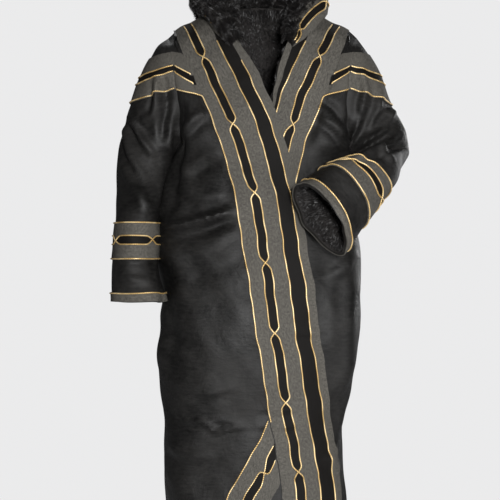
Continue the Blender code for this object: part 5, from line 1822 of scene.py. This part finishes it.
def make_gold_cord():
    """Twisted metallic cord with painted light: cream painted highlights where the plies stand out, and brown
    painted shade in the groove between them, with some random wear.
    """
    look = bpy.context.scene.cloak_colours
    tree = Finish("gold_cord")
    # The ply reading is high on the crests of the plies and low in the groove. It sets where the painted
    # highlights and the painted groove shade lie.
    ply = tree.attribute("ply").step(1.0 - CORD_GROOVE, 1.0)
    thread = tree.cloth_noise(6.0, 14.0, 2.0)
    worn = tree.object_noise(34.0, 3.0)
    tone = ply * 0.55 + thread * 0.25 + worn.step(0.35, 0.7) * 0.3
    # deep is the gold darkened towards the groove: painted shade.
    deep = tree.mix(tone.step(0.15, 0.6), tinted(look.gold, 0.16), tinted(look.gold, 1.0))
    # The cream on the crests is a painted highlight colour, not a colour of the threads.
    color = tree.mix(tone.step(0.5, 0.9), deep, tinted(look.highlight, 1.0))
    rough = 0.42 - ply * 0.1 + thread * 0.12
    return tree.surface(color, rough, ply + thread * 0.5, 0.0003, 0.6, Metallic=0.45)


def make_black_fur():
    """Glossy fur strands, painted darker towards the root as shade deep in the pile and lighter, brown-grey,
    at some tips as painted highlights, on strands of a random tone.
    """
    look = bpy.context.scene.cloak_colours
    tree = Finish("black_fur")
    tone = tree.attribute("tone")
    height = tree.attribute("height")
    clump = tree.object_noise(70.0, 2.0)
    # Painted shade and highlights: dark at the root where the pile shades it, and lighter towards the tips on
    # strands of a random tone and in clumps.
    light = height * tone.step(0.45, 1.0) * 0.7 + height * clump.step(0.4, 0.7) * 0.4
    color = tree.mix(light, tinted(look.fur, 0.25), tinted(look.fur, 2.4))
    rough = 0.42 + tone * 0.15
    return tree.surface(color, rough, Specular_IOR_Level=0.5)


def make_fur_lining():
    """The short dense pile of the lining, and the ground under the collar's strands."""
    look = bpy.context.scene.cloak_colours
    tree = Finish("fur_lining")
    place = tree.object_place()
    curl = tree.noise(place, 140.0, 3.0, 0.6, 1.2)
    fine = tree.noise(place, 900.0, 2.0, 0.7)
    pile = curl * 0.7 + fine * 0.3
    color = tree.mix(pile.step(0.3, 0.75), tinted(look.fur, 0.4), tinted(look.fur, 1.8))
    return tree.surface(color, 0.7 + fine * 0.15, pile, 0.003, 0.9, Specular_IOR_Level=0.25)


def make_floor():
    """The pale matt floor."""
    tree = Finish("pale_floor")
    patch = tree.object_noise(3.0, 2.0)
    color = tree.mix(patch, *FLOOR_COLOURS)
    return tree.surface(color, 0.85)


MAKERS = {
    "black_cloth": make_black_cloth,
    "grey_band": make_grey_band,
    "gold_cord": make_gold_cord,
    "black_fur": make_black_fur,
    "fur_lining": make_fur_lining,
    "pale_floor": make_floor,
}


MADE = {}


def finish(name):
    """The finish of this name, made when it is first asked for."""
    if name not in MADE:
        MADE[name] = MAKERS[name]()
    return MADE[name]


def make_stage():
    """The floor, the lights, the pale surroundings and the camera."""
    sizes = bpy.context.scene.cloak_sizes
    bm = bmesh.new()
    bmesh.ops.create_circle(bm, cap_ends=True, segments=FLOOR_SIDES, radius=FLOOR_RADIUS)
    bmesh.ops.translate(bm, verts=bm.verts, vec=(0.0, 0.0, FLOOR_Z))
    mesh = bpy.data.meshes.new("floor")
    bm.to_mesh(mesh)
    bm.free()
    mesh.materials.append(finish("pale_floor"))
    floor = bpy.data.objects.new("floor", mesh)
    bpy.context.scene.collection.objects.link(floor)

    world = bpy.data.worlds.new("studio")
    world.use_nodes = True
    background = world.node_tree.nodes["Background"]
    background.inputs["Color"].default_value = (*SURROUNDINGS, 1.0)
    path = world.node_tree.nodes.new("ShaderNodeLightPath")
    strength = world.node_tree.nodes.new("ShaderNodeMapRange")
    strength.inputs["To Min"].default_value = AMBIENT
    world.node_tree.links.new(path.outputs["Is Camera Ray"], strength.inputs["Value"])
    world.node_tree.links.new(strength.outputs[0], background.inputs["Strength"])
    bpy.context.scene.world = world

    for name, place, target, size, power in LIGHTS:
        lamp = bpy.data.lights.new(name, "AREA")
        lamp.shape = "DISK"
        lamp.size = size
        lamp.energy = power * sizes.light
        source = bpy.data.objects.new(name, lamp)
        bpy.context.scene.collection.objects.link(source)
        source.location = place
        direction = np.array(target) - np.array(place)
        tilt = math.atan2(math.hypot(direction[0], direction[1]), -direction[2])
        source.rotation_euler = (tilt, 0.0, math.atan2(-direction[0], direction[1]))

    lens = bpy.data.cameras.new("camera")
    lens.sensor_width = CAMERA_SENSOR
    lens.lens = CAMERA_LENS
    camera = bpy.data.objects.new("camera", lens)
    camera.location = CAMERA_PLACE
    camera.rotation_euler = (math.pi / 2, 0.0, 0.0)
    bpy.context.scene.collection.objects.link(camera)
    bpy.context.scene.camera = camera
    bpy.context.scene.view_settings.view_transform = "Standard"


def declare_sheets():
    surfaces = panels()
    for name, surface in surfaces.items():
        width, length, area = surface.cut()
    width, length, area = collar_parts()["surface"].cut()


def colour(name, description, default):
    """A colour that a user may change."""
    return FloatVectorProperty(name=name, description=description, subtype="COLOR", size=3, default=default)


class CloakColours(bpy.types.PropertyGroup):
    """The colours of the cloak's finishes."""

    cloth: colour("Cloth", "Colour of the napped cloth", (0.0072, 0.0068, 0.0064))
    band: colour("Band", "Colour of the woven bands", (0.0550, 0.0515, 0.0450))
    strip: colour("Strip", "Colour of the strips between the cords", (0.0026, 0.0021, 0.0017))
    gold: colour("Gold", "Colour of the cords", (0.62, 0.38, 0.11))
    # The colour of the painted highlights on the crests of the cords' plies.
    highlight: colour("Highlight", "Colour of the cords' raised threads", (0.95, 0.79, 0.48))
    fur: colour("Fur", "Colour of the fur and the lining", (0.0110, 0.0095, 0.0090))


class CloakSizes(bpy.types.PropertyGroup):
    """The sizes that a user would change."""

    fur_length: FloatProperty(
        name="Fur length",
        description="Length of the collar's strands",
        unit="LENGTH",
        default=0.013,
        min=0.002,
        max=0.03,
    )
    fur_strands: IntProperty(
        name="Strands", description="Strands on the collar's face", default=46000, min=1000, max=60000
    )
    cord_twist: FloatProperty(
        name="Cord twist",
        description="Length of one turn of a cord's plies",
        unit="LENGTH",
        default=0.009,
        min=0.004,
        max=0.03,
    )
    crease_depth: FloatProperty(
        name="Crease depth", description="How deep the creases are, as a share", default=1.4, min=0.0, max=1.5
    )
    light: FloatProperty(
        name="Light", description="Strength of the lamps, as a share", default=1.0, min=0.1, max=5.0
    )


class CLOAK_OT_panels(bpy.types.Operator):
    """Makes the back, the fronts and the sleeves"""

    bl_idname = "cloak.panels"
    bl_label = "Cloth Panels"

    def execute(self, context):
        cloth_panels()
        return {"FINISHED"}


class CLOAK_OT_front_bands(bpy.types.Operator):
    """Makes the front and shoulder bands with their cords"""

    bl_idname = "cloak.front_bands"
    bl_label = "Front Bands"

    def execute(self, context):
        front_bands()
        return {"FINISHED"}


class CLOAK_OT_lower_band(bpy.types.Operator):
    """Makes the lower band of the right front"""

    bl_idname = "cloak.lower_band"
    bl_label = "Lower Band"

    def execute(self, context):
        lower_band()
        return {"FINISHED"}


class CLOAK_OT_sleeve_bands(bpy.types.Operator):
    """Makes the bands and cords of the sleeves"""

    bl_idname = "cloak.sleeve_bands"
    bl_label = "Sleeve Bands"

    def execute(self, context):
        sleeve_bands()
        return {"FINISHED"}


class CLOAK_OT_collar(bpy.types.Operator):
    """Makes the collar, its border and its fur"""

    bl_idname = "cloak.collar"
    bl_label = "Collar"

    def execute(self, context):
        collar_body()
        collar_border()
        collar_fur()
        return {"FINISHED"}


class CLOAK_OT_lining(bpy.types.Operator):
    bl_idname = "cloak.lining"
    bl_label = "Lining"

    def execute(self, context):
        lining_fur()
        declare_sheets()
        return {"FINISHED"}


class CLOAK_OT_stage(bpy.types.Operator):
    """Makes the floor, the lights and the camera"""

    bl_idname = "cloak.stage"
    bl_label = "Stage"

    def execute(self, context):
        make_stage()
        return {"FINISHED"}


OPERATORS = (
    CLOAK_OT_panels,
    CLOAK_OT_front_bands,
    CLOAK_OT_lower_band,
    CLOAK_OT_sleeve_bands,
    CLOAK_OT_collar,
    CLOAK_OT_lining,
    CLOAK_OT_stage,
)


class CLOAK_PT_sidebar(bpy.types.Panel):
    """The cloak's sizes, colours and pieces"""

    bl_idname = "CLOAK_PT_sidebar"
    bl_label = "Farwa Cloak"
    bl_space_type = "VIEW_3D"
    bl_region_type = "UI"
    bl_category = "Cloak"

    def draw(self, context):
        for group in (context.scene.cloak_sizes, context.scene.cloak_colours):
            for name in group.__annotations__:
                self.layout.prop(group, name)
        for operator in OPERATORS:
            self.layout.operator(operator.bl_idname)


CLASSES = (CloakColours, CloakSizes, *OPERATORS, CLOAK_PT_sidebar)


def register():
    for item in CLASSES:
        bpy.utils.register_class(item)
    bpy.types.Scene.cloak_colours = PointerProperty(type=CloakColours)
    bpy.types.Scene.cloak_sizes = PointerProperty(type=CloakSizes)


def unregister():
    del bpy.types.Scene.cloak_sizes
    del bpy.types.Scene.cloak_colours
    for item in reversed(CLASSES):
        bpy.utils.unregister_class(item)


def main():
    register()
    bpy.ops.cloak.stage()
    bpy.ops.cloak.panels()
    bpy.ops.cloak.front_bands()
    bpy.ops.cloak.lower_band()
    bpy.ops.cloak.sleeve_bands()
    bpy.ops.cloak.collar()
    bpy.ops.cloak.lining()


if __name__ == "__main__":
    main()
